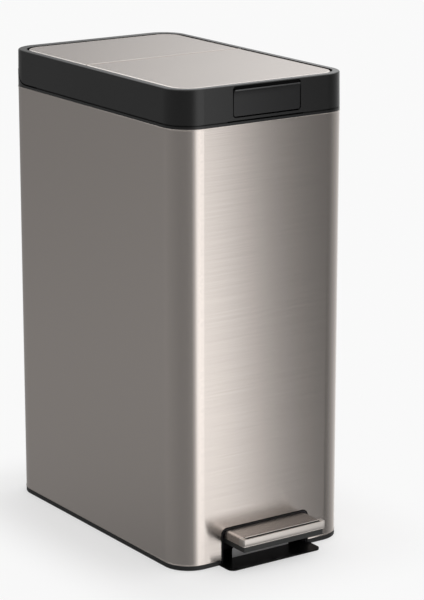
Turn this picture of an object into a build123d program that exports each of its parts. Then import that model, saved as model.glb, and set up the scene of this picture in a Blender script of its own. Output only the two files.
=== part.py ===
from build123d import *
from math import atan2, cos, degrees, pi, radians, sin, sqrt
import os

# Step trash can: a slim steel wrap on a plastic base, a tilting collar with a
# split steel lid, and a wide foot pedal that lifts the front half of the lid.
# The part stands on z = 0, its front faces -Y, and its origin is the middle of
# its footprint with the pedal counted in. All lengths are millimetres, and a
# name that ends in back is a distance behind the front face.

# Body
body_width = 274.0
body_depth = 433.0
body_height = 650.0
corner_radius = 38.0
pedal_reach = 46.0
steel_bottom = 7.3
steel_below_top = 51.5
sheet = 0.7

front_y = pedal_reach - (body_depth + pedal_reach) / 2
back_y = front_y + body_depth
mid_y = (front_y + back_y) / 2
half_width = body_width / 2
side_inside = half_width - sheet
steel_top = body_height - steel_below_top

# Fits
touch_gap = 0.1
clear_gap = 0.4
running = 0.05
beyond = 1.0

# Screws
screw_radius = 1.5
screw_head_radius = 3.0
screw_head_height = 1.6
screw_length = 9.0

# Base
base_bottom = 0.8
base_floor = 2.5
base_rim_width = 9.0
base_groove_height = 0.8
base_groove_depth = 0.45
base_upstand = 18.0
base_upstand_wall = 2.5
foot_height = 1.8
foot_radius = 10.0
foot_inset = 27.0
plate_half = 75.0
plate_reach = 28.3
plate_root_back = 60.0
plate_thickness = 2.2
plate_bottom = 0.6
plate_corner = 9.0
plate_screw_x = 66.0
plate_screw_from_root = 8.0
plate_boss_radius = 4.5
plate_boss_height = 10.0

plate_top = plate_bottom + plate_thickness
plate_root_y = front_y + plate_root_back
plate_screw_y = plate_root_y - plate_screw_from_root
tray_floor_top = base_bottom + base_floor

# Pedal recess
recess_half = 71.0
recess_top = 51.5
recess_corner = 9.0
recess_wall = 1.8
recess_depth = 42.0
recess_flange = 8.0
recess_flange_wall = 1.5
arm_slot_half = 5.0
arm_slot_low = 16.0
arm_slot_high = 45.0

# Pedal
pedal_half = 67.2
pedal_top = 48.8
pedal_skin_bottom = 38.4
pedal_bottom = 30.0
pedal_tail = 24.0
pedal_sheet = 0.8
pedal_shoulder = 6.0
pedal_edge = 2.4
pedal_groove_back = 5.5
pedal_groove_width = 1.0
pedal_groove_depth = 0.4
core_step = 1.4
axle_back = 70.0
axle_z = 26.0
axle_radius = 3.0
axle_end_inset = 9.0
hub_radius = 6.0
front_arm_x = 50.0
front_arm_thickness = 4.0
front_arm_nose = 9.0
front_arm_height = 11.0
front_arm_lift = 3.0
rear_arm_inset = 25.5
rear_arm_thickness = 3.0
rear_arm_height = 9.0
lever_roller_radius = 5.0
lever_roller_gap = 0.5
lever_pin_radius = 2.5
stand_inset = 20.0
stand_thickness = 6.0
stand_half = 11.0
clip_radius = 5.0
clip_thickness = 1.0

axle_end = half_width - axle_end_inset
rear_arm_inner = half_width - rear_arm_inset
stand_inner = half_width - stand_inset

# Lid
lid_margin_side = 12.5
lid_margin_front = 13.5
lid_margin_rear = 18.5
lid_gap = 3.0
lid_sink = 0.5
lid_corner = 26.0
lid_edge = 2.2
lid_depth = 7.0
seam_back = 243.0
roll_radius = 2.3
hinge_rod_radius = 1.5
seam_gap = 0.4
liner_wall = 2.0
liner_below = 1.2
liner_rib = 1.6
liner_rib_pitch = 60.0
lid_swing = 80.0

lid_top = body_height - lid_sink
lid_low = lid_top - lid_depth
lid_half = half_width - lid_margin_side
lid_front_y = front_y + lid_margin_front
lid_rear_y = back_y - lid_margin_rear
seam_y = front_y + seam_back
lid_axis_z = lid_top - roll_radius
liner_bottom = lid_low - liner_below
liner_top = lid_top - sheet - touch_gap
panel_front_y = seam_y + roll_radius + seam_gap

# Collar
collar_height = 46.0
collar_wall = 2.5
collar_draft = 0.87
collar_top_edge = 2.0
lip_thickness = 2.5
lip_wall = 2.0
deck_below_top = 10.0
deck_thickness = 2.0
mouth_margin_side = 15.5
mouth_margin_front = 13.5
mouth_margin_seam = 10.0
mouth_corner = 18.0
chute_wall = 2.0
chute_rise = 2.0
heel_radius = 8.0
heel_wall = 3.0
knee_radius = 25.0
knee_from_rear = 47.0
groove = 2.0
collar_axis_below_top = 18.0
knuckle_inset = 52.0
knuckle_width = 14.0
knuckle_radius = 5.0
knuckle_slot_rise = 7.0
ear_thickness = 3.0
ear_gap = 0.5
ear_radius = 5.2
collar_pin_radius = 2.0
bush_radius = 2.1
bush_length = 4.0
bush_block = 5.0
bush_block_half = 5.0
bumper_height = 0.9
bumper_radius = 4.0
bumper_from_mouth = 9.0

collar_bottom = body_height - collar_height
collar_axis_y = back_y - heel_radius
collar_axis_z = body_height - collar_axis_below_top
heel_bottom = collar_axis_z - heel_radius
knee_y = back_y - knee_from_rear
knee_z = collar_bottom + knee_radius
deck_top = body_height - deck_below_top
deck_bottom = deck_top - deck_thickness
mouth_half = lid_half - mouth_margin_side
mouth_front_y = lid_front_y + mouth_margin_front
mouth_rear_y = seam_y - mouth_margin_seam
chute_bottom = collar_bottom + chute_rise
knuckle_x = half_width - knuckle_inset
bumper_x = mouth_half + bumper_from_mouth
lip_half = lid_half + lid_gap
lip_front_y = lid_front_y - lid_gap
lip_rear_y = lid_rear_y + lid_gap

# Top frame
frame_skirt_height = 28.5
frame_skirt_wall = 2.2
ledge_below_steel = 10.5
ledge_thickness = 3.0
upstand_reach = 6.0
upstand_gap = 0.8
upstand_wall = 2.0
housing_wall = 2.5
housing_depth = 27.5
housing_end_wall = 9.0
keeper_x = 20.0
keeper_width = 14.0
keeper_rear_back = 9.0
keeper_sink = 1.0
keeper_height = 3.5

strip_top = collar_bottom - groove
housing_top = heel_bottom - groove
frame_skirt_bottom = steel_top - frame_skirt_height
ledge_top = steel_top - ledge_below_steel
upstand_top = collar_bottom + upstand_reach
skirt_inset = sheet + touch_gap
upstand_inset = collar_wall + upstand_gap
housing_front_y = back_y - housing_depth
housing_clear_half = half_width - housing_end_wall
keeper_bottom = steel_top - keeper_sink
keeper_top = keeper_bottom + keeper_height

# Bucket
bucket_from_side = 25.7
bucket_from_front = 23.5
bucket_from_rear = 34.0
bucket_bottom = 58.0
bucket_wall = 1.8
bucket_rim = 4.5
bucket_rim_height = 4.0
bucket_draft = 1.0
bucket_corner = 26.0
bucket_gap = 0.5
bucket_seat_gap = 0.3

bucket_half = half_width - bucket_from_side
bucket_front_y = front_y + bucket_from_front
bucket_rear_y = back_y - bucket_from_rear
bucket_mid_y = (bucket_front_y + bucket_rear_y) / 2
bucket_length = bucket_rear_y - bucket_front_y
bucket_rim_bottom = ledge_top + bucket_seat_gap
bucket_top = bucket_rim_bottom + bucket_rim_height

# Latch
latch_half = 52.5
latch_gap = 1.5
latch_rise = 5.2
latch_below_top = 6.1
latch_wall = 2.8
latch_corner = 3.0
latch_flare = 2.0
latch_flare_height = 10.4
latch_gap_below = 1.8
finger_slot = 4.5
latch_face = 0.6
latch_axis_back = 4.6
latch_axis_rise = 2.3
latch_hub_radius = 3.4
latch_hub_half = 43.0
latch_pin_radius = 1.5
latch_ear = 3.0
latch_ear_back = 9.0
latch_arm_below_keeper = 1.5
latch_arm_gap = 0.9
latch_arm_wall = 2.5
latch_arm_width = 10.0
pocket_back = 15.0
pocket_wall = 2.0
pocket_rise = 5.5
spring_wire = 0.4
spring_coil = 2.4
spring_turns = 3
spring_pitch = 1.4
spring_room = 6.5

latch_bottom = collar_bottom + latch_rise
latch_top = body_height - latch_below_top
latch_flare_start = latch_top - latch_flare_height
window_bottom = latch_bottom - latch_gap_below
window_top = latch_top + finger_slot
latch_axis_y = front_y + latch_axis_back
latch_axis_z = latch_bottom + latch_axis_rise
latch_arm_bottom = keeper_bottom - latch_arm_below_keeper
pocket_bottom = latch_axis_z + pocket_rise

# Lift rods
crank_radius = 21.8
crank_inset = 23.9
crank_thickness = 2.5
crank_front = 34.0
crank_rear = 6.0
crank_foot = 3.0
crank_pin_radius = 1.5
crank_roller_radius = 3.5
crank_roller_length = 6.8
crank_gap = 0.8
crank_boss = 6.0
rod_inset = 18.5
rod_thickness = 3.0
rod_width = 10.0
rod_grip = 8.0
cap_wall = 2.0
cap_length = 16.0
cap_height = 14.0
shoe_wall = 2.7
low_guide_z = 120.0
high_guide_below_ledge = 108.0
guide_height = 12.0
guide_wall = 1.9
guide_length = 19.0
slot_crank_gap = 0.8
slot_cap_gap = 1.5
slot_front_reach = 36.0
slot_rear_reach = 3.0

crank_drop = crank_radius * sin(radians(lid_swing / 2))
crank_reach = crank_radius * cos(radians(lid_swing / 2))
crank_pin_y = seam_y - crank_reach
crank_pin_z = lid_axis_z - crank_drop
crank_inner = half_width - crank_inset
crank_outer = crank_inner + crank_thickness
rod_y = seam_y - (crank_reach + crank_radius) / 2
rod_inner = half_width - rod_inset
rod_outer = rod_inner + rod_thickness
cap_inner = rod_inner - cap_wall
cap_outer = rod_outer + cap_wall
shoe_inner = rod_inner - shoe_wall
shoe_outer = rod_outer + shoe_wall
guide_inner = rod_inner - guide_wall
guide_heights = (low_guide_z, ledge_top - high_guide_below_ledge)
slot_inner = crank_inner - slot_crank_gap
slot_outer = cap_outer + slot_cap_gap
rod_cap_top = crank_pin_z - crank_roller_radius - crank_gap
axle_y = front_y + axle_back
lever_tip_z = axle_z - crank_drop
rod_shoe_bottom = lever_tip_z + lever_roller_radius + lever_roller_gap
pedal_swing = 2 * degrees(atan2(crank_drop, rod_y - axle_y))

# Damper
damper_wall_gap = 0.9
damper_back_of_rod = 22.0
damper_bottom = 250.0
damper_length = 90.0
damper_radius = 7.0
damper_bore = 5.6
damper_cap_height = 4.0
damper_seal_gap = 0.15
piston_rod_radius = 2.0
piston_start = 12.0
piston_thickness = 6.0
piston_foot_bottom = 205.0
piston_foot_height = 9.0
saddle_bottom = 285.0
saddle_height = 16.0
saddle_half = 8.0

damper_x = side_inside - damper_radius - damper_wall_gap
damper_y = rod_y + damper_back_of_rod


def body_band(outer_inset, inner_inset):
    """The body's plan as a closed band between two insets."""
    with Locations((0, mid_y)):
        RectangleRounded(
            body_width - 2 * outer_inset,
            body_depth - 2 * outer_inset,
            corner_radius - outer_inset,
        )
        RectangleRounded(
            body_width - 2 * inner_inset,
            body_depth - 2 * inner_inset,
            corner_radius - inner_inset,
            mode=Mode.SUBTRACT,
        )


def lid_window(grow, mode=Mode.ADD):
    """The plan of the two lid panels together, grown all round."""
    with Locations((0, (lid_front_y + lid_rear_y) / 2)):
        RectangleRounded(
            2 * (lid_half + grow),
            lid_rear_y - lid_front_y + 2 * grow,
            lid_corner + grow,
            mode=mode,
        )


def mouth(grow, mode=Mode.ADD):
    """The plan of the throw-in mouth, grown all round."""
    with Locations((0, (mouth_front_y + mouth_rear_y) / 2)):
        RectangleRounded(
            2 * (mouth_half + grow),
            mouth_rear_y - mouth_front_y + 2 * grow,
            mouth_corner + grow,
            mode=mode,
        )


def span(x0, x1, y0, y1, mode=Mode.ADD):
    """A plain rectangle between two corners of a sketch."""
    with Locations(((x0 + x1) / 2, (y0 + y1) / 2)):
        Rectangle(abs(x1 - x0), abs(y1 - y0), mode=mode)


def block(x0, x1, y0, y1, z0, z1, mode=Mode.ADD):
    """A plain box between two corners."""
    with Locations(((x0 + x1) / 2, (y0 + y1) / 2, (z0 + z1) / 2)):
        Box(abs(x1 - x0), abs(y1 - y0), abs(z1 - z0), mode=mode)


def along_x(x0, x1, y, z, radius, mode=Mode.ADD):
    """A round bar along X."""
    with Locations(Location(((x0 + x1) / 2, y, z), (0, 90, 0))):
        Cylinder(radius, abs(x1 - x0), mode=mode)


def upright(x, y, z0, z1, radius, mode=Mode.ADD):
    """A round bar along Z."""
    with Locations((x, y, (z0 + z1) / 2)):
        Cylinder(radius, z1 - z0, mode=mode)


os.makedirs("parts", exist_ok=True)

# Steel wrap with the pedal opening in its front
front_plane = Plane.XZ.offset(-front_y)
with BuildPart() as outer_shell:
    with BuildSketch(Plane.XY.offset(steel_bottom)):
        body_band(0, sheet)
    extrude(amount=steel_top - steel_bottom)
    with BuildSketch(front_plane.offset(beyond)) as recess_cut:
        span(-recess_half, recess_half, steel_bottom - beyond, recess_top)
        fillet(recess_cut.vertices().group_by(Axis.Y)[-1], recess_corner)
    extrude(amount=-corner_radius / 2, mode=Mode.SUBTRACT)
outer_shell.part.label = "outer_shell"
export_step(outer_shell.part, "parts/outer_shell.step")

# Foot plate: flat tongue under the pedal that keeps the can from tipping
with BuildPart() as foot_plate:
    with BuildSketch(Plane.XY.offset(plate_bottom)) as plate_plan:
        span(-plate_half, plate_half, front_y - plate_reach, plate_root_y)
        fillet(plate_plan.vertices().group_by(Axis.Y)[0], plate_corner)
    extrude(amount=plate_thickness)
    for side in (-1, 1):
        screw_at = (side * plate_screw_x, plate_screw_y)
        upright(*screw_at, plate_bottom, plate_top, screw_radius + touch_gap, Mode.SUBTRACT)
        upright(
            *screw_at,
            plate_bottom,
            plate_bottom + screw_head_height,
            screw_head_radius + touch_gap,
            Mode.SUBTRACT,
        )
foot_plate.part.label = "foot_plate"
export_step(foot_plate.part, "parts/foot_plate.step")

with BuildPart() as foot_plate_screws:
    for side in (-1, 1):
        screw_at = (side * plate_screw_x, plate_screw_y)
        upright(*screw_at, plate_bottom, plate_bottom + screw_head_height, screw_head_radius)
        upright(*screw_at, plate_bottom, plate_bottom + screw_length, screw_radius)
foot_plate_screws.part.label = "foot_plate_screws"
export_step(foot_plate_screws.part, "parts/foot_plate_screws.step")

# Base tray: rim under the steel, floor, and an upstand inside the wrap
foot_places = GridLocations(
    body_width - 2 * foot_inset,
    body_depth - 2 * foot_inset,
    2,
    2,
).locations
foot_places = [(place.position.X, place.position.Y + mid_y) for place in foot_places]
with BuildPart() as base_tray:
    with BuildSketch(Plane.XY.offset(base_bottom)):
        body_band(0, base_rim_width)
    extrude(amount=steel_bottom - base_bottom)
    with BuildSketch(Plane.XY.offset(steel_bottom - base_groove_height)):
        body_band(-beyond, base_groove_depth)
    extrude(amount=base_groove_height, mode=Mode.SUBTRACT)
    with BuildSketch(Plane.XY.offset(steel_bottom)):
        body_band(sheet + touch_gap, sheet + touch_gap + base_upstand_wall)
    extrude(amount=base_upstand)
    with BuildSketch(Plane.XY.offset(base_bottom)):
        with Locations((0, mid_y)):
            RectangleRounded(
                body_width - 2 * base_rim_width + 1,
                body_depth - 2 * base_rim_width + 1,
                corner_radius - base_rim_width + 0.5,
            )
    extrude(amount=base_floor)
    for side in (-1, 1):
        upright(
            side * plate_screw_x,
            plate_screw_y,
            base_bottom,
            plate_top + plate_boss_height,
            plate_boss_radius,
        )
    block(
        -recess_half - recess_flange - touch_gap,
        recess_half + recess_flange + touch_gap,
        front_y - beyond,
        front_y + base_rim_width,
        steel_bottom,
        steel_bottom + base_upstand,
        Mode.SUBTRACT,
    )
    block(
        -recess_half,
        recess_half,
        front_y - beyond,
        front_y + recess_depth + touch_gap,
        0,
        steel_bottom + base_upstand,
        Mode.SUBTRACT,
    )
    block(
        -plate_half,
        plate_half,
        front_y - plate_reach,
        plate_root_y,
        0,
        plate_top,
        Mode.SUBTRACT,
    )
    for foot_x, foot_y in foot_places:
        upright(foot_x, foot_y, base_bottom, tray_floor_top + 1, foot_radius + 2)
        upright(foot_x, foot_y, 0, foot_height, foot_radius + touch_gap, Mode.SUBTRACT)
    for side in (-1, 1):
        upright(
            side * plate_screw_x,
            plate_screw_y,
            0,
            plate_bottom + screw_length + touch_gap,
            screw_radius + touch_gap,
            Mode.SUBTRACT,
        )
base_tray.part.label = "base_tray"
export_step(base_tray.part, "parts/base_tray.step")

with BuildPart() as rubber_feet:
    for foot_x, foot_y in foot_places:
        upright(foot_x, foot_y, 0, foot_height, foot_radius)
rubber_feet.part.label = "rubber_feet"
export_step(rubber_feet.part, "parts/rubber_feet.step")

# Pedal housing: black box behind the opening, with a trim edge round it
with BuildPart() as pedal_housing:
    with BuildSketch(front_plane.offset(-sheet - touch_gap)) as flange_face:
        span(
            -recess_half - recess_flange,
            recess_half + recess_flange,
            steel_bottom,
            recess_top + recess_flange,
        )
        fillet(flange_face.vertices().group_by(Axis.Y)[-1], recess_corner)
    extrude(amount=-recess_flange_wall)
    with BuildSketch(front_plane) as housing_face:
        span(-recess_half + touch_gap, recess_half - touch_gap, plate_top, recess_top - touch_gap)
        fillet(housing_face.vertices().group_by(Axis.Y)[-1], recess_corner)
    extrude(amount=-recess_depth)
    with BuildSketch(front_plane.offset(beyond)) as hollow_face:
        span(-recess_half + recess_wall, recess_half - recess_wall, 0, recess_top - recess_wall)
        fillet(hollow_face.vertices().group_by(Axis.Y)[-1], recess_corner - recess_wall)
    extrude(amount=-recess_depth + recess_wall - beyond, mode=Mode.SUBTRACT)
    for side in (-1, 1):
        block(
            side * front_arm_x - arm_slot_half,
            side * front_arm_x + arm_slot_half,
            front_y + recess_depth / 2,
            front_y + recess_depth + beyond,
            arm_slot_low,
            arm_slot_high,
            Mode.SUBTRACT,
        )
pedal_housing.part.label = "pedal_housing"
export_step(pedal_housing.part, "parts/pedal_housing.step")

# Axle, its two stands on the tray floor, and the clips at its ends
stand_outer = stand_inner + stand_thickness
with BuildPart() as axle_stands:
    for side in (-1, 1):
        block(
            side * stand_inner,
            side * stand_outer,
            axle_y - stand_half,
            axle_y + stand_half,
            tray_floor_top,
            axle_z,
        )
        along_x(side * stand_inner, side * stand_outer, axle_y, axle_z, stand_half)
    along_x(-half_width, half_width, axle_y, axle_z, axle_radius + running, Mode.SUBTRACT)
axle_stands.part.label = "axle_stands"
export_step(axle_stands.part, "parts/axle_stands.step")

with BuildPart() as pedal_axle:
    along_x(-axle_end, axle_end, axle_y, axle_z, axle_radius)
pedal_axle.part.label = "pedal_axle"
export_step(pedal_axle.part, "parts/pedal_axle.step")

clip_inner = stand_outer + touch_gap
with BuildPart() as axle_clips:
    for side in (-1, 1):
        along_x(side * clip_inner, side * (clip_inner + clip_thickness), axle_y, axle_z, clip_radius)
    along_x(-half_width, half_width, axle_y, axle_z, axle_radius + running, Mode.SUBTRACT)
axle_clips.part.label = "axle_clips"
export_step(axle_clips.part, "parts/axle_clips.step")

# Pedal lever: hub tube, two front arms under the tread, two rear arms to the rods
tread_front = front_y - pedal_reach
tread_rear = front_y + pedal_tail
arm_front = tread_front + front_arm_nose
arm_low = pedal_bottom + front_arm_lift
arm_high = arm_low + front_arm_height
with BuildPart() as pedal_lever:
    along_x(-rear_arm_inner - beyond, rear_arm_inner + beyond, axle_y, axle_z, hub_radius)
    for side in (-1, 1):
        with BuildSketch(Plane.YZ.offset(side * front_arm_x - front_arm_thickness / 2)):
            with BuildLine():
                Polyline(
                    (axle_y, axle_z + hub_radius - 1),
                    (tread_rear, arm_high),
                    (arm_front, arm_high),
                    (arm_front, arm_low),
                    (tread_rear, arm_low),
                    (axle_y, axle_z - hub_radius + 1),
                    close=True,
                )
            make_face()
        extrude(amount=front_arm_thickness)
        with BuildSketch(Plane.YZ.offset(side * rear_arm_inner)):
            with BuildLine():
                Polyline(
                    (axle_y, axle_z + hub_radius - 1),
                    (rod_y, lever_tip_z + rear_arm_height / 2),
                    (rod_y, lever_tip_z - rear_arm_height / 2),
                    (axle_y, axle_z - hub_radius + 1),
                    close=True,
                )
            make_face()
            with Locations((rod_y, lever_tip_z)):
                Circle(rear_arm_height / 2)
        extrude(amount=side * rear_arm_thickness)
        along_x(
            side * (rear_arm_inner + beyond),
            side * shoe_outer,
            rod_y,
            lever_tip_z,
            lever_pin_radius,
        )
    along_x(-half_width, half_width, axle_y, axle_z, axle_radius + running, Mode.SUBTRACT)
pedal_lever.part.label = "pedal_lever"
export_step(pedal_lever.part, "parts/pedal_lever.step")

roller_inner = rear_arm_inner + rear_arm_thickness + clear_gap
roller_outer = shoe_outer - clear_gap
with BuildPart() as lever_rollers:
    for side in (-1, 1):
        along_x(
            side * roller_inner, side * roller_outer, rod_y, lever_tip_z, lever_roller_radius
        )
    along_x(
        -half_width, half_width, rod_y, lever_tip_z, lever_pin_radius + running, Mode.SUBTRACT
    )
lever_rollers.part.label = "lever_rollers"
export_step(lever_rollers.part, "parts/lever_rollers.step")


def tread_form(inset, bottom, top, edge):
    """The tread's rounded block, used for its core and for its steel cover."""
    with BuildPart() as form:
        with BuildSketch(front_plane.offset(pedal_reach - inset)) as section:
            span(-pedal_half + inset, pedal_half - inset, bottom, top)
            fillet(section.vertices().group_by(Axis.Y)[-1], pedal_shoulder - inset)
        extrude(amount=inset - pedal_reach - pedal_tail)
        nose = form.faces().sort_by(Axis.Y)[0].edges()
        fillet(nose.sort_by(Axis.Z)[1:], edge)
    return form.part


# Tread: plastic core on the lever's arms under a pressed steel cover
core_inset = pedal_sheet + touch_gap
core_body = tread_form(
    core_inset,
    pedal_bottom,
    pedal_top - core_inset,
    pedal_edge - pedal_sheet,
)
with BuildPart() as pedal_core:
    add(core_body)
    with BuildSketch(Plane.XY.offset(pedal_bottom)):
        span(-pedal_half, pedal_half, tread_front, tread_rear + beyond)
        span(
            -pedal_half + core_inset + core_step,
            pedal_half - core_inset - core_step,
            tread_front + core_inset + core_step,
            tread_rear + beyond,
            mode=Mode.SUBTRACT,
        )
    extrude(amount=pedal_skin_bottom - pedal_bottom, mode=Mode.SUBTRACT)
    for side in (-1, 1):
        block(
            side * front_arm_x - front_arm_thickness / 2 - touch_gap,
            side * front_arm_x + front_arm_thickness / 2 + touch_gap,
            arm_front - touch_gap,
            tread_rear + beyond,
            arm_low - touch_gap,
            arm_high + touch_gap,
            Mode.SUBTRACT,
        )
pedal_core.part.label = "pedal_core"
export_step(pedal_core.part, "parts/pedal_core.step")

cover_body = tread_form(0, pedal_skin_bottom, pedal_top, pedal_edge)
cover_hollow = tread_form(
    pedal_sheet,
    pedal_skin_bottom - beyond,
    pedal_top - pedal_sheet,
    pedal_edge - pedal_sheet,
)
with BuildPart() as pedal_cover:
    add(cover_body)
    add(cover_hollow, mode=Mode.SUBTRACT)
    block(
        -half_width,
        half_width,
        tread_front + pedal_groove_back,
        tread_front + pedal_groove_back + pedal_groove_width,
        pedal_top - pedal_groove_depth,
        pedal_top + beyond,
        Mode.SUBTRACT,
    )
pedal_cover.part.label = "pedal_cover"
export_step(pedal_cover.part, "parts/pedal_cover.step")

# Top frame: strip on the steel, skirt inside it, bucket ledge and rear hinge housing
far_x = half_width + beyond
with BuildPart() as top_frame:
    with BuildSketch(Plane.XY.offset(steel_top)):
        with Locations((0, mid_y)):
            RectangleRounded(body_width, body_depth, corner_radius)
    extrude(amount=housing_top - steel_top)
    with BuildSketch(Plane.YZ.offset(-far_x)):
        knee_run = knee_radius + groove
        knee_end = knee_y + sqrt(knee_run**2 - (knee_z - housing_top) ** 2)
        with BuildLine():
            Line((knee_y, steel_top), (knee_y, strip_top))
            ThreePointArc(
                (knee_y, strip_top),
                (knee_y + knee_run * sin(pi / 5), knee_z - knee_run * cos(pi / 5)),
                (knee_end, housing_top),
            )
            Polyline(
                (knee_end, housing_top),
                (back_y + beyond, housing_top),
                (back_y + beyond, steel_top),
                (knee_y, steel_top),
            )
        make_face()
    extrude(amount=2 * far_x, mode=Mode.INTERSECT)
    block(
        -housing_clear_half,
        housing_clear_half,
        knee_y - beyond,
        housing_front_y,
        steel_top,
        housing_top,
        Mode.SUBTRACT,
    )
    with BuildSketch(Plane.YZ.offset(-housing_clear_half)):
        cavity_front = housing_front_y + housing_wall
        cavity_rear = back_y - housing_wall
        cavity_top = housing_top - housing_wall
        with BuildLine():
            Polyline(
                (cavity_front, steel_top),
                (cavity_front, steel_top + knee_radius / 2),
                (knee_end + housing_wall, cavity_top),
                (cavity_rear, cavity_top),
                (cavity_rear, steel_top),
                close=True,
            )
        make_face()
    extrude(amount=2 * housing_clear_half, mode=Mode.SUBTRACT)
    with BuildSketch(Plane.XY.offset(steel_top)):
        body_band(0, upstand_inset + upstand_wall)
    extrude(amount=strip_top - steel_top)
    with BuildSketch(Plane.XY.offset(frame_skirt_bottom)):
        body_band(skirt_inset, upstand_inset + upstand_wall)
    extrude(amount=steel_top - frame_skirt_bottom)
    with BuildSketch(Plane.XY.offset(frame_skirt_bottom)):
        body_band(skirt_inset + frame_skirt_wall, corner_radius - beyond)
    extrude(amount=ledge_top - ledge_thickness - frame_skirt_bottom, mode=Mode.SUBTRACT)
    with BuildSketch(Plane.XY.offset(ledge_top - ledge_thickness)):
        body_band(skirt_inset, corner_radius - beyond)
        with Locations((0, bucket_mid_y)):
            RectangleRounded(
                2 * (bucket_half + bucket_gap),
                bucket_length + 2 * bucket_gap,
                bucket_corner + bucket_gap,
                mode=Mode.SUBTRACT,
            )
    extrude(amount=ledge_thickness)
    with BuildSketch(Plane.XY.offset(strip_top)):
        body_band(upstand_inset, upstand_inset + upstand_wall)
        span(-half_width, half_width, knee_y - knee_radius, back_y, mode=Mode.SUBTRACT)
        span(
            -latch_half - 2 * latch_ear - latch_gap,
            latch_half + 2 * latch_ear + latch_gap,
            front_y,
            latch_axis_y + latch_ear_back,
            mode=Mode.SUBTRACT,
        )
    extrude(amount=upstand_top - strip_top)
    for side in (-1, 1):
        block(
            side * keeper_x - keeper_width / 2,
            side * keeper_x + keeper_width / 2,
            front_y + upstand_inset,
            front_y + keeper_rear_back,
            keeper_bottom,
            keeper_top,
        )
        block(
            side * (rod_inner - clear_gap),
            side * (rod_outer + clear_gap),
            rod_y - rod_width / 2 - clear_gap,
            rod_y + rod_width / 2 + clear_gap,
            frame_skirt_bottom,
            steel_top,
            Mode.SUBTRACT,
        )
        block(
            side * (knuckle_x - knuckle_width / 2),
            side * (knuckle_x + knuckle_width / 2),
            collar_axis_y - knuckle_radius,
            collar_axis_y + knuckle_radius,
            cavity_top,
            collar_axis_z,
        )
        along_x(
            side * (knuckle_x - knuckle_width / 2),
            side * (knuckle_x + knuckle_width / 2),
            collar_axis_y,
            collar_axis_z,
            knuckle_radius,
        )
    along_x(
        -half_width,
        half_width,
        collar_axis_y,
        collar_axis_z,
        collar_pin_radius + running,
        Mode.SUBTRACT,
    )
top_frame.part.label = "top_frame"
export_step(top_frame.part, "parts/top_frame.step")

ear_span = knuckle_width / 2 + ear_gap + ear_thickness
with BuildPart() as collar_hinge_pins:
    for side in (-1, 1):
        along_x(
            side * (knuckle_x - ear_span),
            side * (knuckle_x + ear_span),
            collar_axis_y,
            collar_axis_z,
            collar_pin_radius,
        )
collar_hinge_pins.part.label = "collar_hinge_pins"
export_step(collar_hinge_pins.part, "parts/collar_hinge_pins.step")

# Inner bucket: drafted tub that hangs from its rim on the frame's ledge
with BuildPart() as inner_bucket:
    with BuildSketch(Plane.XY.offset(bucket_rim_bottom)):
        with Locations((0, bucket_mid_y)):
            RectangleRounded(2 * bucket_half, bucket_length, bucket_corner)
    extrude(amount=-(bucket_rim_bottom - bucket_bottom), taper=bucket_draft)
    with BuildSketch(Plane.XY.offset(bucket_rim_bottom)):
        with Locations((0, bucket_mid_y)):
            RectangleRounded(
                2 * (bucket_half + bucket_rim),
                bucket_length + 2 * bucket_rim,
                bucket_corner + bucket_rim,
            )
    extrude(amount=bucket_rim_height)
    with BuildSketch(Plane.XY.offset(bucket_top)):
        with Locations((0, bucket_mid_y)):
            RectangleRounded(
                2 * (bucket_half - bucket_wall),
                bucket_length - 2 * bucket_wall,
                bucket_corner - bucket_wall,
            )
    extrude(
        amount=-(bucket_top - bucket_bottom - bucket_wall),
        taper=bucket_draft,
        mode=Mode.SUBTRACT,
    )
inner_bucket.part.label = "inner_bucket"
export_step(inner_bucket.part, "parts/inner_bucket.step")

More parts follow.
